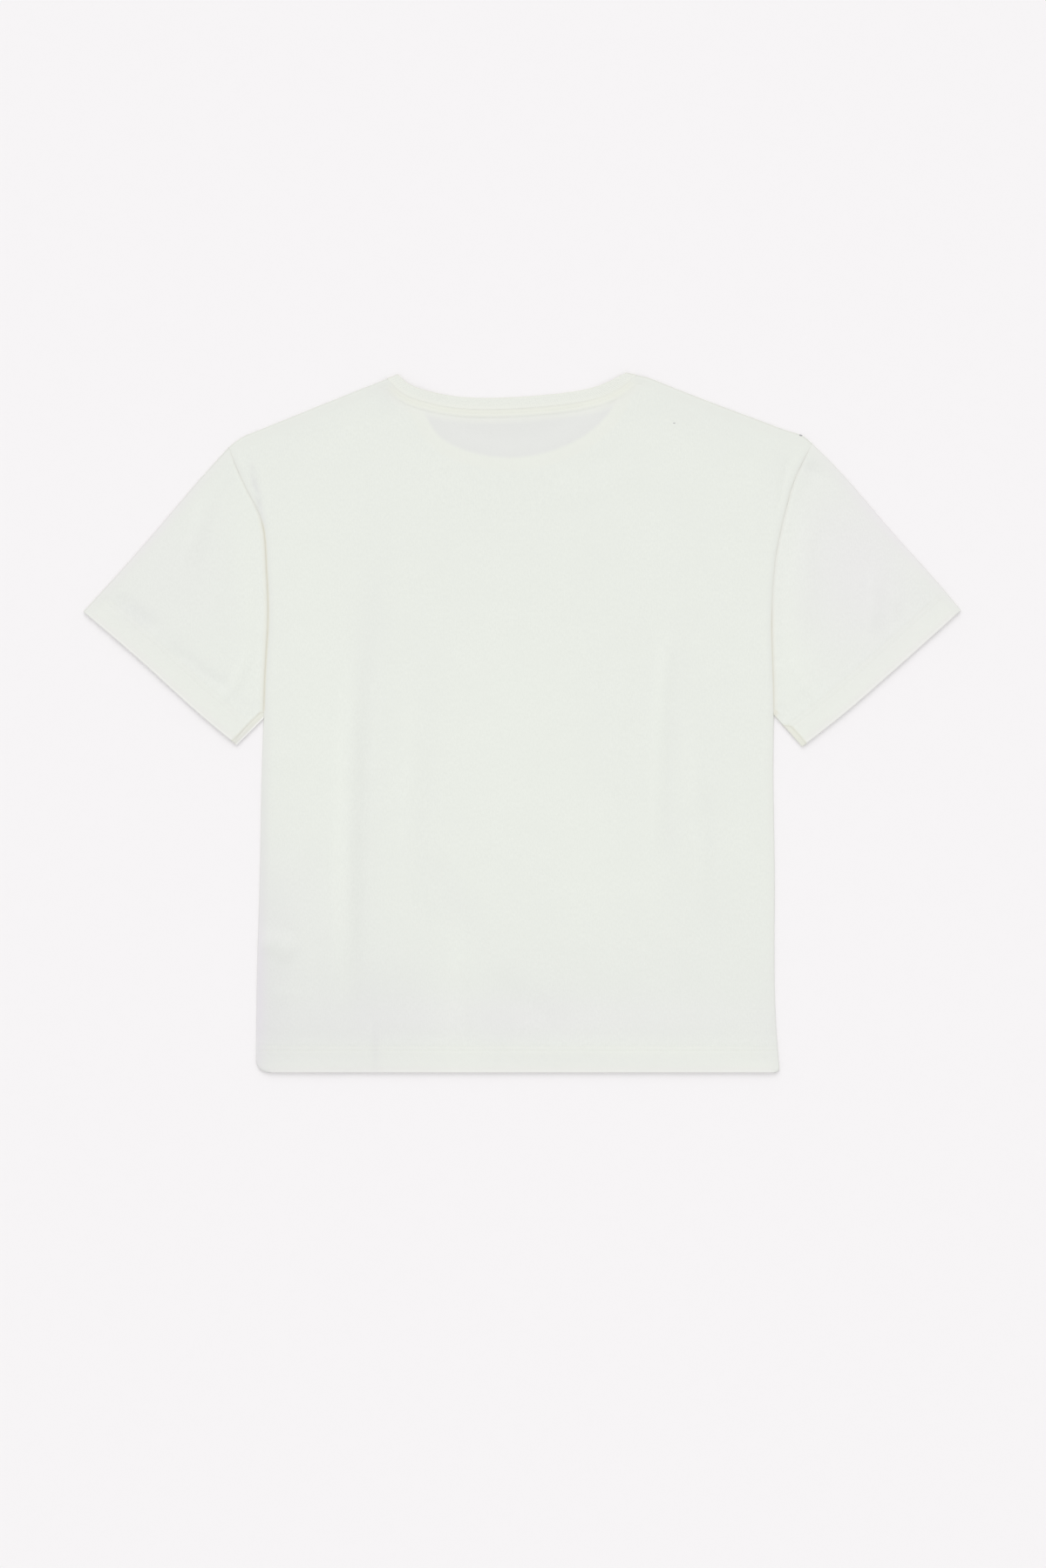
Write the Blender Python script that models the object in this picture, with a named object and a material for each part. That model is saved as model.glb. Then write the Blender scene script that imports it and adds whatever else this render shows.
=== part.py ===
"""A short-sleeved crew-neck T-shirt of thin cotton jersey, laid flat with its back upwards.

Units are metres and +Z is up. The shirt lies on z = 0 on its front panel, neck towards +Y, so the
wearer's left sleeve is at -X. The origin is on the floor under the middle of the whole outline.

Five pieces are cut and sewn: the front and back panels, two sleeves and the rib neckband. Each is a
thin wall. Panels and sleeves have their hems turned up, so the wall is thicker there. Neighbouring
pieces keep a gap of SEAM_GAP, as a seam line does.
"""

import math
from collections import namedtuple

import bmesh
import bpy
import numpy as np

# Cloth
WALL = 0.0010
HEM_WALL = 0.0016
BAND_WALL = 0.0014
SEAM_GAP = 0.0003
FOLD_GAP = 0.0011
FOLD_REACH = 0.11
EDGE_ROUND = 0.0008
EDGE_LINES = (0.0002, 0.0009)
HEM_DEPTH = 0.0240
HEM_STEP = 0.0012
BAND_WIDTH = 0.0108

# Corners of the flat shirt: the ends of its seams
Corner = namedtuple("Corner", "x y")
NECK_LEFT = Corner(-0.1143, 0.3201)
NECK_RIGHT = Corner(0.0942, 0.3216)
SHOULDER_TIP_LEFT = Corner(-0.2700, 0.2532)
SHOULDER_TIP_RIGHT = Corner(0.2660, 0.2564)
UNDERARM_LEFT = Corner(-0.2377, 0.0042)
UNDERARM_RIGHT = Corner(0.2308, 0.0074)
HEM_LEFT = Corner(-0.2448, -0.3209)
HEM_RIGHT = Corner(0.2362, -0.3209)
CUFF_TOP_LEFT = Corner(-0.4034, 0.1023)
CUFF_TOP_RIGHT = Corner(0.4024, 0.1034)
CUFF_UNDER_LEFT = Corner(-0.2622, -0.0203)
CUFF_UNDER_RIGHT = Corner(0.2567, -0.0217)

# What each edge passes through on its way from one corner to the next
SHOULDER_LEFT = (Corner(-0.2560, 0.2632), Corner(-0.2490, 0.2662), Corner(-0.1900, 0.2900))
SHOULDER_RIGHT = (
    Corner(0.2572, 0.2636),
    Corner(0.2450, 0.2679),
    Corner(0.2300, 0.2732),
    Corner(0.1850, 0.2900),
    Corner(0.1404, 0.3072),
    Corner(0.1160, 0.3170),
)
ARMHOLE_LEFT = (
    Corner(-0.2532, 0.2140),
    Corner(-0.2400, 0.1868),
    Corner(-0.2356, 0.1520),
    Corner(-0.2337, 0.0980),
    Corner(-0.2362, 0.0500),
)
ARMHOLE_RIGHT = (
    Corner(0.2490, 0.2204),
    Corner(0.2409, 0.1916),
    Corner(0.2343, 0.1620),
    Corner(0.2296, 0.1180),
    Corner(0.2290, 0.0820),
    Corner(0.2304, 0.0380),
)
FOLD_LEFT = (Corner(-0.2932, 0.2276), Corner(-0.3450, 0.1674), Corner(-0.3802, 0.1277))
FOLD_RIGHT = (
    Corner(0.2909, 0.2315),
    Corner(0.3088, 0.2114),
    Corner(0.3439, 0.1705),
    Corner(0.3799, 0.1304),
)
CUFF_EDGE_LEFT = (Corner(-0.3410, 0.0485), Corner(-0.2957, 0.0074))
CUFF_EDGE_RIGHT = (Corner(0.3667, 0.0711), Corner(0.3311, 0.0394), Corner(0.2950, 0.0083))
SIDE_LEFT = (Corner(-0.2392, -0.0400), Corner(-0.2412, -0.1400), Corner(-0.2438, -0.2300))
SIDE_RIGHT = (Corner(0.2302, -0.0400), Corner(0.2314, -0.1400), Corner(0.2324, -0.2700))
BACK_NECK = (
    Corner(-0.1066, 0.3129),
    Corner(-0.0909, 0.3060),
    Corner(-0.0556, 0.2993),
    Corner(-0.0280, 0.2984),
    Corner(0.0130, 0.3006),
    Corner(0.0523, 0.3053),
    Corner(0.0699, 0.3097),
    Corner(0.0862, 0.3171),
)
FRONT_NECK = (
    Corner(-0.0920, 0.2880),
    Corner(-0.0780, 0.2650),
    Corner(-0.0520, 0.2502),
    Corner(-0.0100, 0.2436),
    Corner(0.0330, 0.2520),
    Corner(0.0650, 0.2700),
    Corner(0.0820, 0.2890),
)

# Columns of the back panel along its hem, closer together where folds run down the back
Span = namedtuple("Span", "place start end columns")
BACK_SPANS = (
    Span("left side", HEM_LEFT.x, -0.178, 3),
    Span("left fold", -0.178, -0.142, 6),
    Span("middle", -0.142, 0.098, 18),
    Span("right folds", 0.098, 0.140, 7),
    Span("right side", 0.140, HEM_RIGHT.x, 5),
)
FRONT_SPANS = (
    Span("left", HEM_LEFT.x, -0.160, 3),
    Span("middle", -0.160, 0.098, 22),
    Span("right", 0.098, HEM_RIGHT.x, 3),
)
NECK_CORNER_COLUMNS = (-0.160, 0.098)
UNDERARM_SHARE = 0.54
BACK_BODY_ROWS = 14
FRONT_BODY_ROWS = 7
UPPER_ARMHOLE_ROWS = 15
LOWER_ARMHOLE_ROWS = 8

# Soft ridges standing in the upper layer
Fold = namedtuple("Fold", "place start bend end half_width height")
BACK_FOLDS = (
    Fold("left", Corner(-0.137, 0.072), Corner(-0.158, -0.060), Corner(-0.160, -0.285), 0.0100, 0.0024),
    Fold("right", Corner(0.142, 0.085), Corner(0.130, -0.020), Corner(0.123, -0.125), 0.0095, 0.0021),
    Fold("far right", Corner(0.165, -0.010), Corner(0.169, -0.050), Corner(0.173, -0.095), 0.0110, 0.0010),
    Fold("middle", Corner(-0.082, -0.025), Corner(-0.080, -0.090), Corner(-0.058, -0.165), 0.0150, 0.0008),
)
LEFT_SLEEVE_FOLDS = (
    Fold("sleeve", Corner(-0.280, 0.198), Corner(-0.292, 0.168), Corner(-0.303, 0.138), 0.0130, 0.0014),
)
RIGHT_SLEEVE_FOLDS = (
    Fold("sleeve", Corner(0.330, 0.140), Corner(0.331, 0.112), Corner(0.330, 0.082), 0.0130, 0.0012),
)
FOLD_TAPER = 0.030

# How the upper layer settles at the neck, where only the floor or the front band lies under it
OVER_BAND = BAND_WALL + SEAM_GAP
OVER_PANEL = WALL + SEAM_GAP
SAG_START = 0.010
SAG_END = 0.032
RISE_START = 0.016
RISE_END = 0.045

# Fineness
LINE_SAMPLES = 240
SLEEVE_SECTIONS = 7
TURN_STEPS = 4

JERSEY_COLOUR = (0.819, 0.840, 0.791, 1.0)
RIB_COLOUR = (0.812, 0.836, 0.770, 1.0)


def clear_scene():
    for thing in list(bpy.data.objects):
        bpy.data.objects.remove(thing, do_unlink=True)


# ---------------------------------------------------------------- lines


def spline_through(corners):
    """The natural cubic spline through the corners, as a dense line of points."""
    points = np.array([(corner.x, corner.y) for corner in corners])
    gaps = np.linalg.norm(np.diff(points, axis=0), axis=1)
    knots = np.concatenate([[0.0], np.cumsum(gaps)])
    slopes = np.diff(points, axis=0) / gaps[:, None]
    matrix = np.eye(len(points))
    wanted = np.zeros_like(points)
    for i in range(1, len(points) - 1):
        matrix[i, i - 1 : i + 2] = gaps[i - 1], 2 * (gaps[i - 1] + gaps[i]), gaps[i]
        wanted[i] = 6 * (slopes[i] - slopes[i - 1])
    bends = np.linalg.solve(matrix, wanted)
    at = np.linspace(0, knots[-1], LINE_SAMPLES)
    i = np.clip(np.searchsorted(knots, at, side="right") - 1, 0, len(gaps) - 1)
    gap = gaps[i][:, None]
    past = (at - knots[i])[:, None]
    left = gap - past
    ends = (bends[i] * left**3 + bends[i + 1] * past**3) / (6 * gap)
    return (
        ends
        + (points[i] / gap - bends[i] * gap / 6) * left
        + (points[i + 1] / gap - bends[i + 1] * gap / 6) * past
    )


def straight(start, end):
    return np.linspace((start.x, start.y), (end.x, end.y), LINE_SAMPLES)


def joined(*lines):
    """One line through several, each of which starts where the last one ended."""
    return np.concatenate([lines[0]] + [line[1:] for line in lines[1:]])


def lengths_along(line):
    steps = np.linalg.norm(np.diff(line, axis=0), axis=1)
    return np.concatenate([[0.0], np.cumsum(steps)])


def at_shares(line, shares):
    """The points at these shares of a line's length, from 0 to 1."""
    along = lengths_along(line)
    wanted = np.asarray(shares) * along[-1]
    return np.stack([np.interp(wanted, along, line[:, axis]) for axis in range(2)], axis=-1)


def left_of(line):
    """Unit vectors to the left of a line's direction, at each of its points."""
    along = np.gradient(line, axis=0)
    along /= np.linalg.norm(along, axis=1)[:, None]
    return np.stack([-along[:, 1], along[:, 0]], axis=1)


def distance_to(line, points):
    """Each point's distance to the nearest stretch of a line."""
    starts = line[:-1]
    runs = np.diff(line, axis=0)
    away = points[..., None, :] - starts
    share = np.clip((away * runs).sum(-1) / (runs * runs).sum(-1), 0, 1)
    return np.linalg.norm(away - share[..., None] * runs, axis=-1).min(-1)


def smooth_step(value):
    value = np.clip(value, 0, 1)
    return value * value * (3 - 2 * value)


# ---------------------------------------------------------------- outline


def band_edges(corners):
    """The opening edge of half the neckband and its seam edge, from the left shoulder to the right.

    The seam edge is one band's width away, square to the opening, and at each end it turns to lie
    along the shoulder fold.
    """
    opening = spline_through((NECK_LEFT,) + corners + (NECK_RIGHT,))
    across = -left_of(opening)
    share = lengths_along(opening) / lengths_along(opening)[-1]
    for corner, tip, nearness in (
        (NECK_LEFT, SHOULDER_LEFT[-1], 1 - share / FOLD_REACH),
        (NECK_RIGHT, SHOULDER_RIGHT[-1], 1 - (1 - share) / FOLD_REACH),
    ):
        fold = np.array([tip.x - corner.x, tip.y - corner.y])
        fold /= np.linalg.norm(fold)
        weight = smooth_step(nearness)[:, None]
        across = across * (1 - weight) + fold * weight
    across /= np.linalg.norm(across, axis=1)[:, None]
    return opening, opening + across * BAND_WIDTH


BACK_OPENING, BACK_BAND_SEAM = band_edges(BACK_NECK)
FRONT_OPENING, FRONT_BAND_SEAM = band_edges(FRONT_NECK)


def moved_out(line):
    """A neck seam's other side: a seam gap further from the opening, and more at the shoulder folds."""
    share = lengths_along(line) / lengths_along(line)[-1]
    nearness = 1 - np.minimum(share, 1 - share) / FOLD_REACH
    gap = SEAM_GAP + (FOLD_GAP - SEAM_GAP) * smooth_step(nearness)
    return line - left_of(line) * gap[:, None]


def shoulder_line(tip, through, neck_end):
    """From a shoulder tip to the neck seam. Its last stretch is straight."""
    corners = (tip,) + through
    return joined(spline_through(corners), straight(through[-1], Corner(*neck_end)))


def panel_edges(band_seam):
    """The parts of a panel's left edge, right edge and top edge, upwards and from left to right."""
    neck = moved_out(band_seam)
    left = (
        spline_through((HEM_LEFT,) + SIDE_LEFT[::-1] + (UNDERARM_LEFT,)),
        armhole_line("left")[::-1],
    )
    right = (
        spline_through((HEM_RIGHT,) + SIDE_RIGHT[::-1] + (UNDERARM_RIGHT,)),
        armhole_line("right")[::-1],
    )
    top = (
        shoulder_line(SHOULDER_TIP_LEFT, SHOULDER_LEFT, neck[0]),
        neck,
        shoulder_line(SHOULDER_TIP_RIGHT, SHOULDER_RIGHT, neck[-1])[::-1],
    )
    return left, right, top


def armhole_line(side):
    """The armhole seam from the shoulder tip down to the underarm."""
    if side == "left":
        return spline_through((SHOULDER_TIP_LEFT,) + ARMHOLE_LEFT + (UNDERARM_LEFT,))
    return spline_through((SHOULDER_TIP_RIGHT,) + ARMHOLE_RIGHT + (UNDERARM_RIGHT,))


# ---------------------------------------------------------------- heights


def fold_lift(points, folds):
    """How far the folds raise the upper layer: round-topped ridges that fade at both ends."""
    lift = np.zeros(points.shape[:-1])
    for fold in folds:
        ridge = spline_through((fold.start, fold.bend, fold.end))
        ends = ridge[[0, -1]]
        to_end = np.linalg.norm(points[..., None, :] - ends, axis=-1).min(-1)
        across = np.clip(distance_to(ridge, points) / fold.half_width, 0, 1)
        fade = smooth_step(to_end / FOLD_TAPER)
        lift += fold.height * fade * 0.5 * (1 + np.cos(np.pi * across))
    return lift


def upper_underside(points):
    """The height of the upper layer's underside, over the front panel, its band or the bare floor."""
    away = distance_to(FRONT_OPENING, points)
    opening_y = np.interp(points[..., 0], FRONT_OPENING[:, 0], FRONT_OPENING[:, 1])
    in_width = (points[..., 0] > NECK_LEFT.x) & (points[..., 0] < NECK_RIGHT.x)
    inside = in_width & (points[..., 1] > opening_y)
    sag = smooth_step((away - SAG_START) / (SAG_END - SAG_START))
    rise = smooth_step((away - RISE_START) / (RISE_END - RISE_START))
    over_floor = OVER_BAND + (SEAM_GAP - OVER_BAND) * sag
    over_front = OVER_BAND + (OVER_PANEL - OVER_BAND) * rise
    return np.where(inside, over_floor, over_front)


def hem_share(distance):
    """1 inside a hem's depth and 0 past it."""
    return 1 - smooth_step((distance - HEM_DEPTH) / HEM_STEP)


def rounded(distance):
    """The share of the full thickness at this distance from a cloth edge."""
    return np.sqrt(1 - (1 - np.clip(distance / EDGE_ROUND, 0, 1)) ** 2)


# ---------------------------------------------------------------- meshes


def colour_material(name, colour):
    material = bpy.data.materials.new(name)
    material.use_nodes = True
    shader = material.node_tree.nodes["Principled BSDF"]
    shader.inputs["Base Color"].default_value = colour
    shader.inputs["Roughness"].default_value = 0.9
    shader.inputs["Metallic"].default_value = 0.0
    return material


def cloth_object(name, points, faces, material, parent):
    """One closed mesh, with its normals turned outwards, as a named object."""
    mesh = bpy.data.meshes.new(name)
    mesh.from_pydata([tuple(point) for point in points], [], faces)
    shape = bmesh.new()
    shape.from_mesh(mesh)
    bmesh.ops.recalc_face_normals(shape, faces=shape.faces)
    shape.to_mesh(mesh)
    shape.free()
    mesh.shade_smooth()
    mesh.set_sharp_from_angle(angle=math.radians(50))
    mesh.materials.append(material)
    thing = bpy.data.objects.new(name, mesh)
    thing.parent = parent
    bpy.context.collection.objects.link(thing)
    return thing


def grid_faces(numbers, wrapped_rows=False, wrapped_columns=False):
    """The four-sided faces between the vertices of a numbered grid."""
    rows, columns = numbers.shape
    faces = []
    for row in range(rows if wrapped_rows else rows - 1):
        for column in range(columns if wrapped_columns else columns - 1):
            above = (row + 1) % rows
            beside = (column + 1) % columns
            face = numbers[row, column], numbers[row, beside], numbers[above, beside], numbers[above, column]
            faces.append(tuple(int(number) for number in face))
    return faces


def two_sided(outer, inner, shared):
    """The points of two grids, and their numbers, where the shared places have one vertex for both."""
    outer_numbers = np.arange(outer[..., 0].size).reshape(outer.shape[:-1])
    inner_numbers = outer_numbers.copy()
    own = ~shared
    inner_numbers[own] = outer_numbers.size + np.arange(own.sum())
    points = np.concatenate([outer.reshape(-1, 3), inner[own]])
    return points, outer_numbers, inner_numbers


# ---------------------------------------------------------------- panels


def edge_shares(length):
    """Two shares close to each end of a run of this length, where its edge rounds over."""
    near = np.array(EDGE_LINES) / length
    return near, 1 - near[::-1]


def column_shares(spans):
    width = HEM_RIGHT.x - HEM_LEFT.x
    stops = [np.linspace(span.start, span.end, span.columns, endpoint=False) for span in spans]
    shares = (np.concatenate(stops)[1:] - HEM_LEFT.x) / width
    near, far = edge_shares(width)
    return np.concatenate([[0.0], near, shares, far, [1.0]])


def level_line(left_side, right_side, height, shares):
    """Points across the shirt at one height above the hem, from its left side to its right side."""
    y = HEM_LEFT.y + height
    ends = [Corner(np.interp(y, side[:, 1], side[:, 0]), y) for side in (left_side, right_side)]
    return at_shares(straight(*ends), shares)


def line_above(line, height):
    """The stretch of a side that is more than this height above the hem."""
    y = HEM_LEFT.y + height
    start = np.interp(y, line[:, 1], line[:, 0])
    return np.concatenate([[[start, y]], line[line[:, 1] > y + 1e-6]])


def neck_corner_shares():
    return [(x - HEM_LEFT.x) / (HEM_RIGHT.x - HEM_LEFT.x) for x in NECK_CORNER_COLUMNS]


def neck_shares(spans):
    """The columns that end on the neck seam, as shares of its length."""
    low, high = neck_corner_shares()
    shares = (column_shares(spans) - low) / (high - low)
    return shares[(shares > -1e-6) & (shares < 1 + 1e-6)]


def along_parts(parts, joints, shares):
    """Points along an edge made of several lines, which meet at the shares given as joints."""
    limits = [0.0, *joints, 1.0]
    points = np.zeros((len(shares), 2))
    for part, low, high in zip(parts, limits[:-1], limits[1:]):
        chosen = (shares >= low - 1e-9) & (shares <= high + 1e-9)
        points[chosen] = at_shares(part, (shares[chosen] - low) / (high - low))
    return points


def panel_grid(edges, spans, body_rows, armhole_rows):
    """A net of points over a panel: level rows in its hem, then rows blended between its edges."""
    left, right, top = edges
    across = column_shares(spans)
    hem_heights = (0.0, *EDGE_LINES, HEM_DEPTH)
    hem_rows = [level_line(left[0], right[0], height, across) for height in hem_heights]
    start = HEM_DEPTH + HEM_STEP
    far = edge_shares(SHOULDER_TIP_LEFT.y - HEM_LEFT.y - start)[1]
    body = np.linspace(0, UNDERARM_SHARE, body_rows + 1)[:-1]
    armhole = np.linspace(UNDERARM_SHARE, 1, armhole_rows + 1)[:-1]
    up = np.concatenate([body, armhole, far, [1.0]])
    low_points = level_line(left[0], right[0], start, across)
    high_points = along_parts(top, neck_corner_shares(), across)
    left_points, right_points = (
        along_parts((line_above(side, start), armhole_up), [UNDERARM_SHARE], up)[:, None]
        for side, armhole_up in (left, right)
    )
    u = across[None, :, None]
    v = up[:, None, None]
    ends = (
        (1 - u) * (1 - v) * low_points[0]
        + u * (1 - v) * low_points[-1]
        + (1 - u) * v * high_points[0]
        + u * v * high_points[-1]
    )
    blend = (1 - v) * low_points + v * high_points + (1 - u) * left_points + u * right_points
    return np.concatenate([hem_rows, blend - ends])


def panel(name, band_seam, net, underside, material, parent):
    """A panel as a wall whose two faces meet in one rounded edge."""
    left, right, top = panel_edges(band_seam)
    hem = straight(HEM_LEFT, HEM_RIGHT)
    grid = panel_grid((left, right, top), *net)
    outline = joined(hem, *right, joined(*top)[::-1], joined(*left)[::-1])
    from_hem = distance_to(hem, grid)
    thickness = WALL + (HEM_WALL - WALL) * hem_share(from_hem)
    low = underside(grid, from_hem)
    on_edge = np.zeros(grid.shape[:-1], dtype=bool)
    on_edge[[0, -1]] = True
    on_edge[:, [0, -1]] = True
    share = np.where(on_edge, 0.0, rounded(distance_to(outline, grid)))
    middle = low + thickness / 2
    upper = np.dstack([grid, middle + share * thickness / 2])
    lower = np.dstack([grid, middle - share * thickness / 2])
    points, upper_numbers, lower_numbers = two_sided(upper, lower, on_edge)
    faces = grid_faces(upper_numbers) + [face[::-1] for face in grid_faces(lower_numbers)]
    return cloth_object(name, points, faces, material, parent)


def front_underside(points, from_hem):
    return np.zeros(points.shape[:-1])


def back_underside(points, from_hem):
    over_hem = (HEM_WALL - WALL) * hem_share(from_hem)
    return upper_underside(points) + over_hem + fold_lift(points, BACK_FOLDS)


# ---------------------------------------------------------------- sleeves


def turn(radius, reach, middle):
    """A half turn round a fold: how far each point is from the fold's edge, and its height."""
    angles = np.linspace(math.pi / 2, -math.pi / 2, TURN_STEPS + 1)
    return reach - radius * np.cos(angles), middle + radius * np.sin(angles)


def sleeve_ring(line, thickness, folds, share):
    """One flattened section of a sleeve tube: its outer loop and its inner loop.

    The line runs from the outer fold to the underarm. The loop goes along the upper layer, round the
    underarm, back along the lower layer and round the outer fold.
    """
    length = lengths_along(line)[-1]
    reach = thickness + SEAM_GAP / 2
    middle = reach
    shares = np.linspace(0, 1, UPPER_ARMHOLE_ROWS + 1).clip(reach / length, 1 - reach / length)
    under_shares = np.linspace(1, 0, LOWER_ARMHOLE_ROWS + 1).clip(reach / length, 1 - reach / length)
    loops = []
    for radius in (reach, SEAM_GAP / 2):
        inset, height = turn(radius, reach, middle)
        over = at_shares(line, shares)
        lift = fold_lift(over, folds)
        lift[[0, -1]] = 0.0
        upper = np.column_stack([over, middle + radius + lift])
        underarm = np.column_stack([at_shares(line, 1 - inset[1:-1] / length), height[1:-1]])
        lower = np.column_stack([at_shares(line, under_shares), np.full(len(under_shares), middle - radius)])
        fold = np.column_stack([at_shares(line, inset[1:-1][::-1] / length), height[1:-1][::-1]])
        loops.append(np.concatenate([upper, underarm, lower, fold]))
    outer, inner = loops
    centre = (outer + inner) / 2
    return centre + (outer - centre) * share, centre + (inner - centre) * share


def sleeve_lines(armhole, cuff, outer_fold):
    """Lines from the outer fold to the underarm: at the armhole, on down the sleeve, and at the cuff.

    Each comes with its distance from the nearer open edge and its distance from the cuff.
    """
    shares = np.linspace(0, 1, LINE_SAMPLES)
    start = at_shares(armhole, shares)
    end = at_shares(cuff, shares)
    inward = (start[0] - end[0]) / np.linalg.norm(start[0] - end[0])
    near_edge = np.array([0.0, *EDGE_LINES])
    hem_lines = [end + inward * step for step in near_edge]
    hem_top = end + inward * HEM_DEPTH
    above_hem = end + inward * (HEM_DEPTH + HEM_STEP)
    rest = np.linalg.norm(above_hem - start, axis=1).mean()
    past_hem = 2 * HEM_DEPTH
    rows = [(start + (above_hem - start) * step / rest, step, past_hem) for step in near_edge]
    for share in np.linspace(0, 1, SLEEVE_SECTIONS + 1)[1:-1]:
        rows.append((start + (above_hem - start) * share, EDGE_ROUND, past_hem))
    rows.append((above_hem, EDGE_ROUND, HEM_DEPTH + HEM_STEP))
    rows.append((hem_top, EDGE_ROUND, HEM_DEPTH))
    rows += [(line, step, step) for line, step in zip(hem_lines[::-1], near_edge[::-1])]
    return [
        (bowed(line, start[0], end[0], outer_fold, shares), to_edge, to_cuff)
        for line, to_edge, to_cuff in rows
    ]


def bowed(line, fold_top, fold_end, outer_fold, shares):
    """A line across the sleeve whose outer end is moved on to the curve of the outer fold."""
    chord = fold_end - fold_top
    down = float((line[0] - fold_top) @ chord / (chord @ chord))
    bow = at_shares(outer_fold, [down])[0] - (fold_top + chord * down)
    return line + bow * ((1 - shares) ** 3)[:, None]


def sleeve(name, side, cuff_corners, fold_corners, folds, material, parent):
    """A sleeve as a flattened tube, open at the armhole and at the cuff."""
    seam = armhole_line(side)
    outward = left_of(seam) if side == "right" else -left_of(seam)
    armhole = seam + outward * SEAM_GAP
    cuff = spline_through(cuff_corners)
    outer_fold = spline_through((Corner(*armhole[0]),) + fold_corners + (cuff_corners[0],))
    outer = []
    inner = []
    for line, to_edge, to_cuff in sleeve_lines(armhole, cuff, outer_fold):
        thickness = WALL + (HEM_WALL - WALL) * float(hem_share(to_cuff))
        rings = sleeve_ring(line, thickness, folds, float(rounded(to_edge)))
        outer.append(rings[0])
        inner.append(rings[1])
    outer = np.array(outer)
    inner = np.array(inner)
    on_edge = np.zeros(outer.shape[:-1], dtype=bool)
    on_edge[[0, -1]] = True
    points, outer_numbers, inner_numbers = two_sided(outer, inner, on_edge)
    faces = grid_faces(outer_numbers, wrapped_columns=True)
    faces += [face[::-1] for face in grid_faces(inner_numbers, wrapped_columns=True)]
    return cloth_object(name, points, faces, material, parent)


# ---------------------------------------------------------------- neckband


def band_profile():
    """The band's section: each point's share of the width and its share of half the thickness."""
    near = EDGE_LINES[-1] / BAND_WIDTH
    outside = [(near, 1.0), (0.5, 1.0), (1 - near, 1.0)]
    inside = [(across, -height) for across, height in outside[::-1]]
    return [(0.0, 0.0)] + outside + [(1.0, 0.0)] + inside


def band_ring(opening_point, seam_point, middle, normal):
    """One section of the band, between its two edges, with its outside facing along the normal."""
    across = np.append(seam_point - opening_point, 0.0)
    base = np.append(opening_point, middle)
    half = np.array(normal) * BAND_WALL / 2
    return [base + across * width + half * height for width, height in band_profile()]


def square_to_fold(opening_point, seam_point):
    """The level direction that points out of the shirt across a shoulder fold."""
    along = seam_point - opening_point
    outward = np.array([-along[1], along[0]]) / np.linalg.norm(along)
    return outward * np.sign(outward[1])


def band_half(opening, seam, shares):
    """The edge points of half the band, whose ends stop short of the shoulder folds to turn there."""
    edges = np.array([at_shares(opening, shares), at_shares(seam, shares)])
    reach = (OVER_BAND + BAND_WALL) / 2
    for end in (0, -1):
        edges[:, end] -= square_to_fold(*edges[:, end]) * reach
    return edges


def band_fold(opening_point, seam_point):
    """The sections that carry the band over a shoulder fold, from its lower half to its upper half."""
    outward = square_to_fold(opening_point, seam_point)
    radius = OVER_BAND / 2
    rings = []
    for angle in np.linspace(0, math.pi, TURN_STEPS + 1):
        shift = outward * radius * math.sin(angle)
        middle = BAND_WALL / 2 + radius * (1 - math.cos(angle))
        normal = (*(outward * math.sin(angle)), -math.cos(angle))
        rings.append(band_ring(opening_point + shift, seam_point + shift, middle, normal))
    return rings


def neckband(material, parent):
    """The band as one ring: its front half on the floor, a fold at each shoulder, its back half above."""
    front = band_half(FRONT_OPENING, FRONT_BAND_SEAM, neck_shares(FRONT_SPANS))
    back = band_half(BACK_OPENING, BACK_BAND_SEAM, neck_shares(BACK_SPANS))
    middles = upper_underside(back.mean(axis=0)) + BAND_WALL / 2
    rings = [band_ring(*edges, BAND_WALL / 2, (0, 0, -1)) for edges in front.swapaxes(0, 1)[1:-1]]
    rings += band_fold(*front[:, -1])
    upper = [
        band_ring(*edges, middle, (0, 0, 1))
        for edges, middle in zip(back.swapaxes(0, 1), middles)
    ]
    rings += upper[-2:0:-1]
    rings += band_fold(*front[:, 0])[::-1]
    rings = np.array(rings)
    numbers = np.arange(rings[..., 0].size).reshape(rings.shape[:-1])
    faces = grid_faces(numbers, wrapped_rows=True, wrapped_columns=True)
    return cloth_object("neckband", rings.reshape(-1, 3), faces, material, parent)


def main():
    clear_scene()
    shirt = bpy.data.objects.new("shirt", None)
    bpy.context.collection.objects.link(shirt)
    jersey = colour_material("jersey", JERSEY_COLOUR)
    rib = colour_material("rib", RIB_COLOUR)
    front_net = FRONT_SPANS, FRONT_BODY_ROWS, LOWER_ARMHOLE_ROWS
    back_net = BACK_SPANS, BACK_BODY_ROWS, UPPER_ARMHOLE_ROWS
    panel("front_panel", FRONT_BAND_SEAM, front_net, front_underside, jersey, shirt)
    panel("back_panel", BACK_BAND_SEAM, back_net, back_underside, jersey, shirt)
    left_cuff = (CUFF_TOP_LEFT,) + CUFF_EDGE_LEFT + (CUFF_UNDER_LEFT,)
    right_cuff = (CUFF_TOP_RIGHT,) + CUFF_EDGE_RIGHT + (CUFF_UNDER_RIGHT,)
    sleeve("sleeve_left", "left", left_cuff, FOLD_LEFT, LEFT_SLEEVE_FOLDS, jersey, shirt)
    sleeve("sleeve_right", "right", right_cuff, FOLD_RIGHT, RIGHT_SLEEVE_FOLDS, jersey, shirt)
    neckband(rib, shirt)


main()
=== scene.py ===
"""The looks of a T-shirt laid flat on its front: cloth shells, rib neckband, stitching, light and camera.

Units are metres and +Z is up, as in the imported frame. Each shell lies on its CAD solid: the lower layer
on the floor, the upper layer on it. The wearer's left is at -X, because the back is upwards.
"""

import math
from collections import namedtuple

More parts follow.
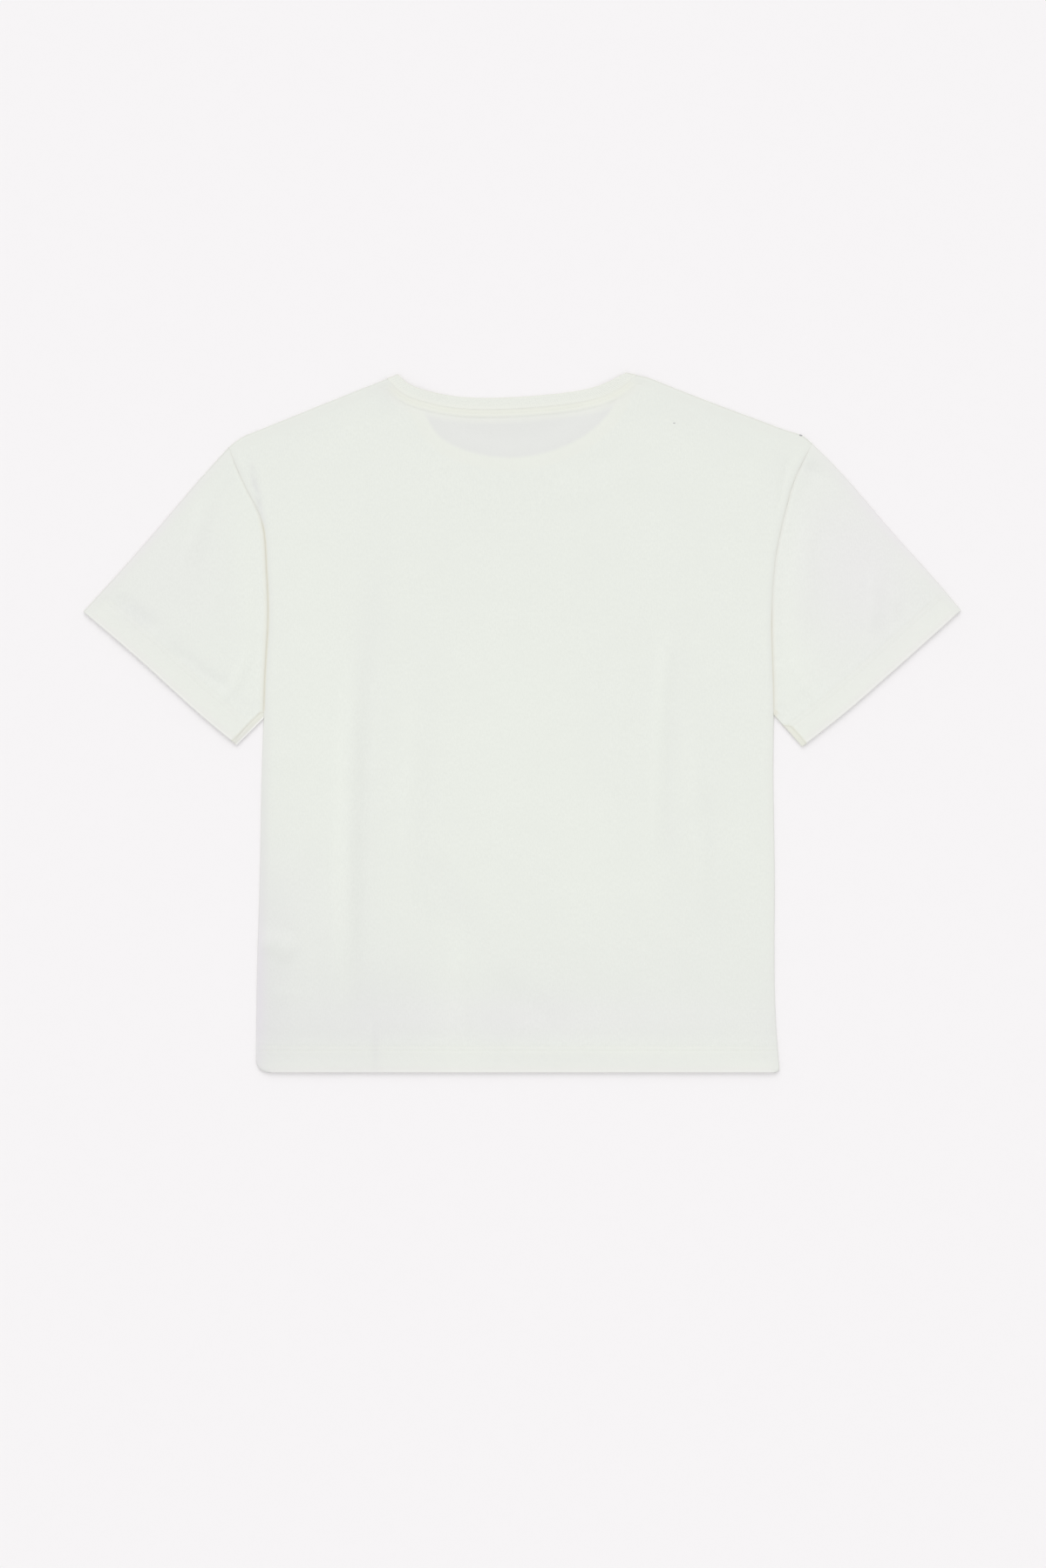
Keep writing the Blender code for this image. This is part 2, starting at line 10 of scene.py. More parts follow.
import bmesh
import bpy
import numpy as np
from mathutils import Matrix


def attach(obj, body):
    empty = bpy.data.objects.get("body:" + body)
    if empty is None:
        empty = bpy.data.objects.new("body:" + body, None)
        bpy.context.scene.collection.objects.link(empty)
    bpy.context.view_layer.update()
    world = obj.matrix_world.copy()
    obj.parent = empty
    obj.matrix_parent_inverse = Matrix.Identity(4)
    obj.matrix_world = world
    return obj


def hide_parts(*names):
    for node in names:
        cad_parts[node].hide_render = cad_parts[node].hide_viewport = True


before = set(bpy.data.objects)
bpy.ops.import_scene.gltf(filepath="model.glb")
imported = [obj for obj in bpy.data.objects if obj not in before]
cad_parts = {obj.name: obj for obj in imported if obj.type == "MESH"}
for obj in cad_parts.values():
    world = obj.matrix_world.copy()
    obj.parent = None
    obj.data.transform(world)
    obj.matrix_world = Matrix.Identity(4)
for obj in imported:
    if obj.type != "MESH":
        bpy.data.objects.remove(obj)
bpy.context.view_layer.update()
MM = 0.001

# ---------------------------------------------------------------- sizes

# Heights of the cloth as it lies, how its edges lift or drop, and the band
JERSEY = 0.9 * MM
LOWER_TOP = 1.0 * MM
UPPER_TOP = 2.3 * MM
EDGE_MEETING = 1.15 * MM
HEM_PLY = 0.15 * MM
CREASE_SCALE = 1.6
HEM_LIFT = 0.45 * MM
HEM_LIFT_REACH = 16 * MM
CUFF_LIFT = {"left": 0.60 * MM, "right": 0.26 * MM}
HEM_DROP = 0.35 * MM
HEM_DROP_WIDTH = 1.1 * MM
CORNER_ROUNDS = (12.0 * MM, 4.5 * MM)
UNDERARM_SQUASH = {"left": 0.45, "right": 0.65}
UNDERARM_PRESS = {"left": 0.50, "right": 0.40}
UNDERARM_RAISE = {"left": 0.95 * MM, "right": 0.75 * MM}
UNDERARM_START = {"left": 7 * MM, "right": 16 * MM}
UNDERARM_FLAP = 7 * MM
BAND_STEP = 0.4 * MM
OPENING_SAG = 0.9 * MM
BAND_THICKNESS = 1.35 * MM
BAND_WIDTH = 10.8 * MM
BAND_FLOOR_GAP = 0.03 * MM
BAND_LOWEST = 0.02 * MM
BAND_FOLD_ROOM = 0.1 * MM
SEAM_GAP = -0.16 * MM

# Seams and needle rows, from the edge or seam that they follow
HEM_DEPTH = 24.4 * MM
HEM_RAMP = 10.0 * MM
HEM_ROWS = (20.2 * MM, 24.4 * MM)
CUFF_DEPTH = 23.9 * MM
CUFF_ROWS = (19.7 * MM, 23.9 * MM)
NECK_STRIP = 7.0 * MM
NECK_STRIP_RISE = 0.32 * MM
NECK_ROWS = (3.6 * MM, 6.8 * MM)
STITCH_PITCH = 2.8 * MM
STITCH_LENGTH = 2.3 * MM
THREAD_RADIUS = 0.17 * MM
THREAD_FLATNESS = 0.8
THREAD_RELIEF = 0.03 * MM
RIB_PITCH = 1.8 * MM
RIB_DEPTH = 0.13 * MM
RIB_MARGIN = 0.16
RIB_UNDERNEATH = 0.4
RIB_COURSE_PITCH = 0.6 * MM
RIB_RELIEF = 0.02 * MM
WALE_PITCH = 0.72 * MM
COURSE_PITCH = 0.55 * MM
KNIT_RELIEF = 0.03 * MM

# Corners of the flat shirt: the ends of its seams
Corner = namedtuple("Corner", "x y")
NECK_LEFT = Corner(-0.1143, 0.3201)
NECK_RIGHT = Corner(0.0942, 0.3216)
SHOULDER_TIP_LEFT = Corner(-0.2700, 0.2532)
SHOULDER_TIP_RIGHT = Corner(0.2660, 0.2564)
UNDERARM_LEFT = Corner(-0.2377, 0.0042)
UNDERARM_RIGHT = Corner(0.2308, 0.0074)
HEM_LEFT = Corner(-0.2448, -0.3209)
HEM_RIGHT = Corner(0.2362, -0.3209)
CUFF_TOP_LEFT = Corner(-0.4034, 0.1023)
CUFF_TOP_RIGHT = Corner(0.4024, 0.1034)
CUFF_UNDER_LEFT = Corner(-0.2622, -0.0203)
CUFF_UNDER_RIGHT = Corner(0.2567, -0.0217)

# What each edge passes through on its way from one corner to the next
SHOULDER_LEFT = (Corner(-0.2560, 0.2632), Corner(-0.2490, 0.2662), Corner(-0.1900, 0.2900))
SHOULDER_RIGHT = (
    Corner(0.2572, 0.2636), Corner(0.2450, 0.2679), Corner(0.2300, 0.2732), Corner(0.1850, 0.2900),
    Corner(0.1404, 0.3072), Corner(0.1160, 0.3170),
)
ARMHOLE_LEFT = (
    Corner(-0.2532, 0.2140), Corner(-0.2400, 0.1868), Corner(-0.2356, 0.1520), Corner(-0.2337, 0.0980),
    Corner(-0.2362, 0.0500),
)
ARMHOLE_RIGHT = (
    Corner(0.2490, 0.2204), Corner(0.2409, 0.1916), Corner(0.2343, 0.1620), Corner(0.2296, 0.1180),
    Corner(0.2290, 0.0820), Corner(0.2304, 0.0380),
)
FOLD_LEFT = (Corner(-0.2932, 0.2276), Corner(-0.3450, 0.1674), Corner(-0.3802, 0.1277))
FOLD_RIGHT = (
    Corner(0.2909, 0.2315), Corner(0.3088, 0.2114), Corner(0.3439, 0.1705), Corner(0.3799, 0.1304),
)
CUFF_EDGE_LEFT = (Corner(-0.3410, 0.0485), Corner(-0.2957, 0.0074))
CUFF_EDGE_RIGHT = (Corner(0.3667, 0.0711), Corner(0.3311, 0.0394), Corner(0.2950, 0.0083))
SIDE_LEFT = (Corner(-0.2392, -0.0400), Corner(-0.2412, -0.1400), Corner(-0.2438, -0.2300))
SIDE_RIGHT = (Corner(0.2302, -0.0400), Corner(0.2314, -0.1400), Corner(0.2324, -0.2700))
BACK_NECK = (
    Corner(-0.1066, 0.3129), Corner(-0.0909, 0.3060), Corner(-0.0556, 0.2993), Corner(-0.0280, 0.2984),
    Corner(0.0130, 0.3006), Corner(0.0523, 0.3053), Corner(0.0699, 0.3097), Corner(0.0862, 0.3171),
)
FRONT_NECK = (
    Corner(-0.0920, 0.2880), Corner(-0.0780, 0.2650), Corner(-0.0520, 0.2502), Corner(-0.0100, 0.2436),
    Corner(0.0330, 0.2520), Corner(0.0650, 0.2700), Corner(0.0820, 0.2890),
)
FOLD_REACH = 0.11
NECK_CORNER_SHARES = (0.1765, 0.7135)
UNDERARM_SHARE = 0.54

# Creases in the upper layer, in millimetres. A row is one soft ridge, or a trough where its height is
# below zero: the points that it passes, its half width, its height, how far its crest leans to the
# right, as a share of the half width, and the length in which it fades at each end.
Crease = namedtuple("Crease", "place points half_width height lean fade")
BACK_CREASES = (
    Crease("left", ((-150, 95), (-155.5, 0), (-158.5, -100), (-158, -285)), 18, 1.80, 0.05, 135),
    Crease("left, lower half", ((-157.5, -40), (-159, -120), (-157.5, -230)), 11, 0.35, 0.05, 70),
    Crease("hollow beside the left one", ((-138, 120), (-142, 20), (-146, -80)), 17, -0.35, 0, 70),
    Crease("right", ((137, 95), (128.2, 10), (125.5, -60), (126.8, -125)), 12, 0.70, 0.10, 60),
    Crease("right, broad", ((100, 70), (88, 0), (84, -110)), 19, 0.20, 0, 60),
    Crease("far right", ((154, 10), (162, -70), (171, -175)), 14, 0.60, 0.10, 65),
    Crease("middle left", ((-99, 45), (-99, -80), (-96, -138), (-69, -190)), 18, 0.62, 0.10, 70),
    Crease("low middle", ((-34, -225), (6, -262), (52, -285)), 22, -0.40, 0, 30),
    Crease("low, left of the middle", ((-62, -195), (-56, -250), (-55, -300)), 14, 0.50, 0, 40),
    Crease("into the hem, left", ((-140, -270), (-137.5, -319)), 5.5, 0.42, 0.25, 20),
    Crease("into the hem, middle", ((-24.5, -280), (-22.5, -319)), 5, 0.25, 0.2, 16),
    Crease("into the hem, right", ((121, -284), (122.5, -319)), 6, 0.20, 0.2, 16),
    Crease("left armhole", ((-250, 240), (-246.2, 222), (-241.8, 204), (-238.5, 188)), 2.9, -0.85, 0, 15),
    Crease("right armhole", ((248, 250), (243, 238), (237.5, 212), (235, 190)), 4.2, -0.40, 0, 15),
    Crease("over the low left bulge", ((-244, -195), (-226, -203), (-204, -214)), 17, 1.00, 0, 16),
    Crease("under the low left bulge", ((-232, -245), (-215, -250), (-200, -248)), 9, 0.25, 0, 12),
    Crease("across the shoulders", ((-120, 222), (0, 214), (120, 226)), 26, 0.22, 0, 80),
)
LEFT_SLEEVE_CREASES = (
    Crease("from the armhole", ((-289, 212), (-296, 176), (-307, 140)), 13, 0.50, 0.15, 30),
    Crease("towards the cuff", ((-380, 116), (-358, 103), (-334, 80)), 13, -0.55, 0, 16),
    Crease("along the hem", ((-326, 72), (-298, 50), (-264, 28)), 9, -0.30, 0, 16),
    Crease("under the arm", ((-250, 70), (-262, 40), (-281, 16)), 9, 0.35, 0, 18),
    Crease("underarm seam", ((-263.4, -17), (-252.4, -2.4), (-239.2, 10.5)), 1.4, -0.26, 0, 4),
)
RIGHT_SLEEVE_CREASES = (
    Crease("from the armhole", ((264, 206), (262, 150), (270, 80)), 14, 0.55, 0.1, 40),
    Crease("outer", ((322, 146), (323, 114), (324, 78)), 11, 0.60, 0.1, 26),
    Crease("outermost", ((342, 130), (343, 112), (345, 96)), 8, 0.30, 0.1, 14),
    Crease("at the shoulder", ((258, 238), (266, 232), (274, 220)), 9, -0.45, 0, 10),
    Crease("under the arm", ((246, 64), (258, 36), (275, 14)), 9, 0.35, 0, 18),
    Crease("underarm seam", ((244, -1), (253, -10.5), (259.6, -17.6)), 1.2, -0.20, 0, 4),
)

# Painted shade and light, and broad darker or lighter areas of the cloth, in millimetres. Many rows are
# painted shade beside creases, seams, edges and folds, or painted light on the lit side of a crease. A row
# is one soft patch: its middle, its reach each way before it is turned anticlockwise, and how many levels of
# 255 it is darker, or lighter where that is below zero. In a cast the levels make the cloth more lilac.
Patch = namedtuple("Patch", "place x y reach_x reach_y turn levels")
EVEN_TONE = 1.4
BACK_PATCHES = (
    Patch("middle", -10, 0, 55, 85, 0, -1.0),
    Patch("left", -188, 15, 24, 60, 0, -0.9),
    Patch("left crease, lit side", -168, -95, 6, 60, -2, -0.8),
    Patch("left crease, upper", -141, 70, 10, 55, -5, 1.2),
    Patch("left crease, lower", -147, -120, 11, 90, -2, 1.6),
    Patch("low left", -190, -280, 60, 60, 0, 5.0),
    Patch("low left corner", -240, -240, 18, 80, 0, 5.0),
    Patch("low, left of middle", -110, -265, 35, 28, 0, 2.4),
    Patch("low, right of middle", 5, -270, 38, 26, 0, 2.6),
    Patch("low right", 150, -270, 80, 45, 0, 1.5),
    Patch("low, all over", 40, -235, 130, 32, 0, 0.8),
    Patch("low, between", -58, -255, 14, 50, 0, -1.0),
    Patch("middle left crease", -90, -40, 11, 70, 0, 0.6),
    Patch("left of the middle left crease", -100, -20, 9, 28, 0, -0.7),
    Patch("left of the right crease", 127, 0, 5, 50, 0, -0.8),
    Patch("left of the right crease, low", 120, -125, 12, 55, 0, -0.6),
    Patch("middle left crease, end", -68, -160, 12, 34, 35, 0.9),
    Patch("right crease, upper", 141, 40, 8, 45, -4, 0.7),
    Patch("right crease, lower", 134, -60, 6, 55, 0, 0.8),
    Patch("right crease, end", 136, -103, 8, 12, 0, 1.0),
    Patch("far right crease", 173, -90, 8, 60, 5, 0.6),
    Patch("right of middle", 70, -30, 10, 50, 0, 0.4),
    Patch("low left bulge, over it", -222, -182, 9, 16, 0, 0.6),
    Patch("low left bulge, middle", -226, -207, 12, 7, 0, -1.2),
    Patch("low left bulge, under it", -214, -249, 12, 8, 0, -1.0),
    Patch("low left bulge, right of it", -163, -225, 8, 40, 0, -1.5),
    Patch("left edge, low", -243.8, -250, 4.5, 90, -1, 4.2),
    Patch("left edge, high", -240.5, -75, 4.5, 60, -1, 5.0),
    Patch("middle, right part", 60, -115, 20, 45, 0, -1.0),
    Patch("above the hem", 0, -290, 260, 11, 0, 1.3),
    Patch("crease into the hem, left", -134.5, -302, 2.5, 18, 0, 2.5),
    Patch("low right edge", 226, -290, 12, 45, 0, 1.8),
    Patch("left of the neck", -126, 303, 12, 12, 0, 2.4),
    Patch("left shoulder, near the neck", -180, 284, 34, 9, 24, 0.8),
    Patch("right shoulder", 205, 264, 30, 8, -22, 0.8),
    Patch("hem, middle", 40, -311, 95, 4, 0, 1.7),
    Patch("hem, left end", -210, -316.5, 32, 3.5, 0, -1.3),
    Patch("hem, right end", 215, -316.5, 17, 3.5, 0, -1.3),
    Patch("along the needle rows", -20, -299, 190, 3.5, 0, -1.3),
    Patch("needle rows, left", -180, -299.5, 32, 5, 0, -0.9),
    Patch("needle rows, right", 125, -301, 45, 4.5, 0, -0.9),
    Patch("beside the left seam", -205, -150, 22, 30, 0, 1.0),
    Patch("right, low", 180, -180, 35, 28, 0, 0.9),
    Patch("left, high", -195, 140, 18, 45, 0, -0.8),
    Patch("above the hem, left of middle", -30, -272, 18, 18, 0, 0.8),
    Patch("beside the middle left crease", -56, -165, 7, 28, 30, 0.8),
    Patch("right of the neck", 150, 286, 35, 12, -22, 1.2),
    Patch("left shoulder", -225, 256, 40, 14, 25, 0.7),
    Patch("beside the right armhole", 233, 225, 7, 30, -8, 0.9),
    Patch("beside the left armhole", -245.2, 218, 1.8, 12, 13, 7.0),
    Patch("beside the left armhole, low", -240, 195, 1.8, 10, 12, 3.5),
)
LEFT_SLEEVE_PATCHES = (
    Patch("whole", -320, 130, 50, 60, 0, 1.0),
    Patch("beside the armhole", -252, 120, 8, 75, 3, -1.2),
    Patch("crease", -291, 172, 6, 30, -15, 0.8),
    Patch("towards the cuff", -356, 100, 17, 8, -38, 3.2),
    Patch("inside the hem", -294, 49, 34, 6, -38, 1.6),
    Patch("top of the armhole", -268, 232, 6, 12, 0, 1.2),
    Patch("low inner part", -262, 34, 7, 10, 0, -0.5),
    Patch("underarm edge", -257.5, -13, 9, 3.2, 43, 4.5),
)
RIGHT_SLEEVE_PATCHES = (
    Patch("whole", 315, 150, 48, 65, 0, 1.6),
    Patch("beside the armhole", 245, 110, 8, 60, 0, -0.9),
    Patch("low inner part", 253, 55, 14, 22, 0, -1.3),
    Patch("crease", 331, 95, 6, 28, 0, 1.0),
    Patch("outer crease", 348, 108, 5, 14, 0, 0.7),
    Patch("at the shoulder", 262, 236, 10, 7, -20, 2.2),
    Patch("inside the hem", 325, 70, 45, 4, 41, 1.0),
    Patch("hem", 338, 56, 65, 12, 41, -0.9),
    Patch("underarm seam", 253.5, -11, 9, 3, -46, -1.6),
    Patch("outer fold, low", 360, 143, 22, 6, -48, -1.4),
    Patch("along the armhole", 243, 140, 6, 75, 0, -0.8),
    Patch("top of the cuff", 372, 115, 10, 10, 0, 1.5),
)
BACK_CAST = (
    Patch("above the hem", 0, -270, 150, 14, 0, 2.2),
    Patch("low, all over", 0, -215, 220, 40, 0, 0.2),
    Patch("left edge, low", -241, -240, 4, 60, 0, 3.5),
    Patch("low left", -210, -160, 25, 40, 0, 0.9),
)
LEFT_SLEEVE_CAST = (
    Patch("whole", -330, 140, 40, 45, 0, 1.2),
    Patch("outer fold", -338, 176, 60, 4, 49, 3.5),
)
RIGHT_SLEEVE_CAST = (
    Patch("whole", 312, 145, 45, 60, 0, 3.8),
    Patch("outer fold", 340, 174, 70, 4, -48, 2.6),
)

Sleeve = namedtuple("Sleeve", "side creases patches cast seed")
SLEEVES = (
    Sleeve("left", LEFT_SLEEVE_CREASES, LEFT_SLEEVE_PATCHES, LEFT_SLEEVE_CAST, seed=31),
    Sleeve("right", RIGHT_SLEEVE_CREASES, RIGHT_SLEEVE_PATCHES, RIGHT_SLEEVE_CAST, seed=51),
)

# Ends of thread that lie on the cloth, in millimetres: middle, height, length, direction and radius
Fibre = namedtuple("Fibre", "place x y z length turn radius")
FIBRES = (
    Fibre("end of the right shoulder seam", 255.1, 264.0, 1.5, 3.7, -12, 0.78),
    Fibre("on the back, right of the neck", 139.2, 275.3, 2.3, 2.8, 0, 0.30),
)

# What the sewing does. Puckers reach away from a seam, a trough lies under each needle row, and waves of
# these heights and pitches run through the hems and over the whole cloth.
Pucker = namedtuple("Pucker", "reach height pitch")
HEM_PUCKERS = Pucker(7 * MM, 0.10 * MM, 13 * MM)
NECK_PUCKERS = Pucker(6 * MM, 0.09 * MM, 11 * MM)
ARMHOLE_PUCKERS = Pucker(7 * MM, 0.20 * MM, 16 * MM)
SIDE_PUCKERS = Pucker(9 * MM, 0.14 * MM, 34 * MM)
SHOULDER_PUCKERS = Pucker(7 * MM, 0.10 * MM, 21 * MM)
CUFF_PUCKERS = Pucker(7 * MM, 0.10 * MM, 12 * MM)
CAP_PUCKERS = Pucker(8 * MM, 0.22 * MM, 15 * MM)
Trough = namedtuple("Trough", "depth width")
HEM_TROUGH = Trough(0.16 * MM, 1.3 * MM)
NECK_TROUGH = Trough(0.14 * MM, 0.9 * MM)
SEAM_GROOVE = Trough(0.32 * MM, 0.7 * MM)
Wave = namedtuple("Wave", "height pitch")
HEM_ROPING = Wave(0.07 * MM, 10 * MM)
CUFF_ROPING = Wave(0.06 * MM, 9 * MM)
BACK_RIPPLES = (Wave(0.07 * MM, 42 * MM), Wave(0.025 * MM, 15 * MM))
SLEEVE_RIPPLES = (Wave(0.06 * MM, 36 * MM), Wave(0.025 * MM, 14 * MM))
ROPING_SLANT = 0.8
CALM_EDGE = 8 * MM
NECK_STRIP_RAMP = 0.6 * MM
CAP_RIDGE = 0.25 * MM
CAP_RIDGE_AT = 4.5 * MM
CAP_RIDGE_WIDTH = 5 * MM
FOLD_CALM = 9 * MM
UNDERARM_CALM = 4 * MM
CUFF_LIFT_PITCH = 60 * MM
BAND_STEP_REACH = 26 * MM
SAG_START = 2 * MM
SAG_REACH = 24 * MM

# How the shades in and beside the seams change from place to place. Pairs are left and right.
SEAM_FADE = 0.9 * MM
OLIVE_FADE = 2.4 * MM
STRIP_FADE = 3.4 * MM
PULL_FADES_FROM = (0.190, 0.222)
PULL_FADE_REACH = 0.030
PULL_FADE = 0.8
Growth = namedtuple("Growth", "least start reach")
PALENESS = (Growth(0.20, 0.178, 0.020), Growth(0.42, 0.090, 0.045))
# PALE_EDGE and PALE_FOLD hold the painted edge shade back from the right side and the right sleeve's outer
# fold.
PALE_EDGE = 1.6 * MM
PALE_FOLD = 0.7 * MM
PALE_UNDERARM = 1.2 * MM
PALE_ARMPIT = 6 * MM
ARMPIT_SHARE = 0.25
ARMPIT_SHADE = 1.3 * MM
ARMPIT_FADE = {"left": 1.1 * MM, "right": 9 * MM}
UNDERARM_LINE_AT = 4.5 * MM
FAR = 1.0

# Rounded edges
SEAM_ROUND = 0.15 * MM
THICK_ROUND = 0.5 * MM
EDGE_TUCK = 2.6 * MM

# Fineness of lines and nets. The steps of a hem's net, and where it starts and ends beyond the ridge, are
# in millimetres.
LINE_SAMPLES = 240
LINE_STEP = 4
CREASE_SAMPLES = 40
EDGE_STEPS = tuple(step * MM for step in (0.10, 0.30, 0.65, 1.1, 1.8, 2.7))
NECK_STEPS = tuple(
    step * MM for step in (0.1, 0.3, 0.7, 1.2, 1.9, 2.6, 3.3, 4.0, 4.9, 5.8, 6.5, 7.1, 7.6, 8.2, 9.4)
)
Net = namedtuple("Net", "columns rows hem_step")
BACK_NET = Net(195, 150, hem_step=1.0)
FRONT_NET = Net(90, 60, hem_step=3.0)
ABOVE_HEM_STEP = 1.2 * MM
HEM_NET_START, HEM_NET_PAST = 2.0, 4.0
CUFF_NET_START, CUFF_NET_PAST = 1.5, 2
CUFF_STEP = 0.9
ROW_SAMPLES = 60
HEM_ROW_MARGIN = 0.004
CUFF_ROW_MARGIN = 0.012
NECK_ROW_MARGIN = 4
SLEEVE_SECTIONS = 54
SLEEVE_ACROSS = 84
SLEEVE_FINE = 24
SLEEVE_FINE_WIDTH = 12 * MM
SLEEVE_BELOW = 40
FOLD_STEPS = 8
BAND_FRONT_POINTS = 620
BAND_BACK_POINTS = 560
BAND_FOLD_RINGS = 11

# A thread's places along it and its radius there, and how far it dips at its ends
THREAD_SHAPE = (
    (-0.5, 0.25), (-0.44, 0.75), (-0.25, 1.0), (0.0, 1.05), (0.25, 1.0), (0.44, 0.75), (0.5, 0.25),
)
THREAD_DIP = 2.2
THREAD_SIDES = 8

# Camera, where the photograph's 1200 by 1799 frame has 0.8 mm to a pixel
PIXEL = 0.8 * MM
PHOTO_SIZE = (1200, 1799)
ORIGIN_PIXEL = (599.5, 829.5)
LENS_MM = 85.0
SENSOR_MM = 36.0

# The floor's half width, and how far it lies under the cloth
FLOOR_REACH = 6.0
FLOOR_GAP = 0.05 * MM

# Strengths of the world and the two suns. On a level face a sun counts for its strength times the sine
# of its elevation, over pi.
WORLD_LIGHT = 0.785
KEY_LIGHT = 0.92
SIDE_LIGHT = 0.26


# ---------------------------------------------------------------- lines


def spline_through(corners, samples=LINE_SAMPLES):
    """The natural cubic spline through the corners, as a dense line of points."""
    points = np.array(corners)
    gaps = np.linalg.norm(np.diff(points, axis=0), axis=1)
    knots = np.concatenate([[0.0], np.cumsum(gaps)])
    slopes = np.diff(points, axis=0) / gaps[:, None]
    matrix = np.eye(len(points))
    wanted = np.zeros_like(points)
    for i in range(1, len(points) - 1):
        matrix[i, i - 1 : i + 2] = gaps[i - 1], 2 * (gaps[i - 1] + gaps[i]), gaps[i]
        wanted[i] = 6 * (slopes[i] - slopes[i - 1])
    bends = np.linalg.solve(matrix, wanted)
    at = np.linspace(0, knots[-1], samples)
    i = np.clip(np.searchsorted(knots, at, side="right") - 1, 0, len(gaps) - 1)
    gap = gaps[i][:, None]
    past = (at - knots[i])[:, None]
    left = gap - past
    ends = (bends[i] * left**3 + bends[i + 1] * past**3) / (6 * gap)
    start = (points[i] / gap - bends[i] * gap / 6) * left
    return ends + start + (points[i + 1] / gap - bends[i + 1] * gap / 6) * past


def straight(start, end):
    return np.linspace((start.x, start.y), (end.x, end.y), LINE_SAMPLES)


def joined(*lines):
    """One line through several, each of which starts where the last one ended."""
    return np.concatenate([lines[0]] + [line[1:] for line in lines[1:]])


def lengths_along(line):
    steps = np.linalg.norm(np.diff(line, axis=0), axis=1)
    return np.concatenate([[0.0], np.cumsum(steps)])


def length_of(line):
    return float(lengths_along(line)[-1])


def at_shares(line, shares):
    """The points at these shares of a line's length, from 0 to 1."""
    along = lengths_along(line)
    wanted = np.asarray(shares) * along[-1]
    return np.stack([np.interp(wanted, along, line[:, axis]) for axis in range(2)], axis=-1)


def left_of(line):
    """Unit vectors to the left of a line's direction, at each of its points."""
    along = np.gradient(line, axis=0)
    along /= np.linalg.norm(along, axis=1)[:, None]
    return np.stack([-along[:, 1], along[:, 0]], axis=1)


def nearest(line, points):
    """Each point's distance to a line, above zero on its left, and how far along its nearest place is."""
    best = np.full(points.shape[:-1], np.inf)
    along = np.zeros(points.shape[:-1])
    side = np.ones(points.shape[:-1])
    reached = 0.0
    for start, end in zip(line[:-1], line[1:]):
        run = end - start
        length = math.hypot(*run)
        away = points - start
        share = np.clip((away @ run) / length**2, 0, 1)
        gap = np.hypot(away[..., 0] - share * run[0], away[..., 1] - share * run[1])
        closer = gap < best
        cross = run[0] * away[..., 1] - run[1] * away[..., 0]
        best = np.where(closer, gap, best)
        side = np.where(closer, np.where(cross < 0, -1.0, 1.0), side)
        along = np.where(closer, reached + share * length, along)
        reached += length
    return best * side, along


def thinned(line):
    """A line with fewer points, for measuring distances to it."""
    return np.concatenate([line[:-1:LINE_STEP], line[-1:]])


def distance_to(line, points):
    return np.abs(nearest(thinned(line), points)[0])


def smooth_step(value):
    value = np.clip(value, 0, 1)
    return value * value * (3 - 2 * value)


def bell(value):
    """1 at zero and 0 from 1 on, on either side, with a round top."""
    return 0.5 * (1 + np.cos(np.pi * np.clip(value, -1, 1)))


def rounded(share):
    """A quarter round: 0 at an edge and 1 from its full depth on."""
    return np.sqrt(1 - (1 - np.clip(share, 0, 1)) ** 2)


# ---------------------------------------------------------------- outline


def band_edges(corners):
    """The opening edge of half the neckband and its seam edge, from the left shoulder to the right."""
    opening = spline_through((NECK_LEFT,) + corners + (NECK_RIGHT,))
    across = -left_of(opening)
    share = lengths_along(opening) / length_of(opening)
    for corner, tip, nearness in (
        (NECK_LEFT, SHOULDER_LEFT[-1], 1 - share / FOLD_REACH),
        (NECK_RIGHT, SHOULDER_RIGHT[-1], 1 - (1 - share) / FOLD_REACH),
    ):
        fold = np.array([tip.x - corner.x, tip.y - corner.y])
        fold /= np.linalg.norm(fold)
        weight = smooth_step(nearness)[:, None]
        across = across * (1 - weight) + fold * weight
    across /= np.linalg.norm(across, axis=1)[:, None]
    return opening, opening + across * BAND_WIDTH


def moved_out(line, extra=0.0):
    """A neck seam's other side, a seam gap further from the opening."""
    return line - left_of(line) * (SEAM_GAP + extra)


def shoulder_line(tip, through, neck_end):
    return joined(spline_through((tip,) + through), straight(through[-1], Corner(*neck_end)))


def armhole_line(side):
    """The armhole seam from the shoulder tip down to the underarm."""
    if side == "left":
        return spline_through((SHOULDER_TIP_LEFT,) + ARMHOLE_LEFT + (UNDERARM_LEFT,))
    return spline_through((SHOULDER_TIP_RIGHT,) + ARMHOLE_RIGHT + (UNDERARM_RIGHT,))


BACK_OPENING, BACK_SEAM = band_edges(BACK_NECK)
FRONT_OPENING, FRONT_SEAM = band_edges(FRONT_NECK)
LEFT_SIDE = spline_through((HEM_LEFT,) + SIDE_LEFT[::-1] + (UNDERARM_LEFT,))
RIGHT_SIDE = spline_through((HEM_RIGHT,) + SIDE_RIGHT[::-1] + (UNDERARM_RIGHT,))


def panel_edges(band_seam):
    """The parts of a panel's left edge, right edge and top edge, upwards and from left to right."""
    neck = moved_out(band_seam)
    top = (
        shoulder_line(SHOULDER_TIP_LEFT, SHOULDER_LEFT, neck[0]),
        neck,
        shoulder_line(SHOULDER_TIP_RIGHT, SHOULDER_RIGHT, neck[-1])[::-1],
    )
    left = LEFT_SIDE, armhole_line("left")[::-1]
    right = RIGHT_SIDE, armhole_line("right")[::-1]
    return left, right, top


# ---------------------------------------------------------------- relief


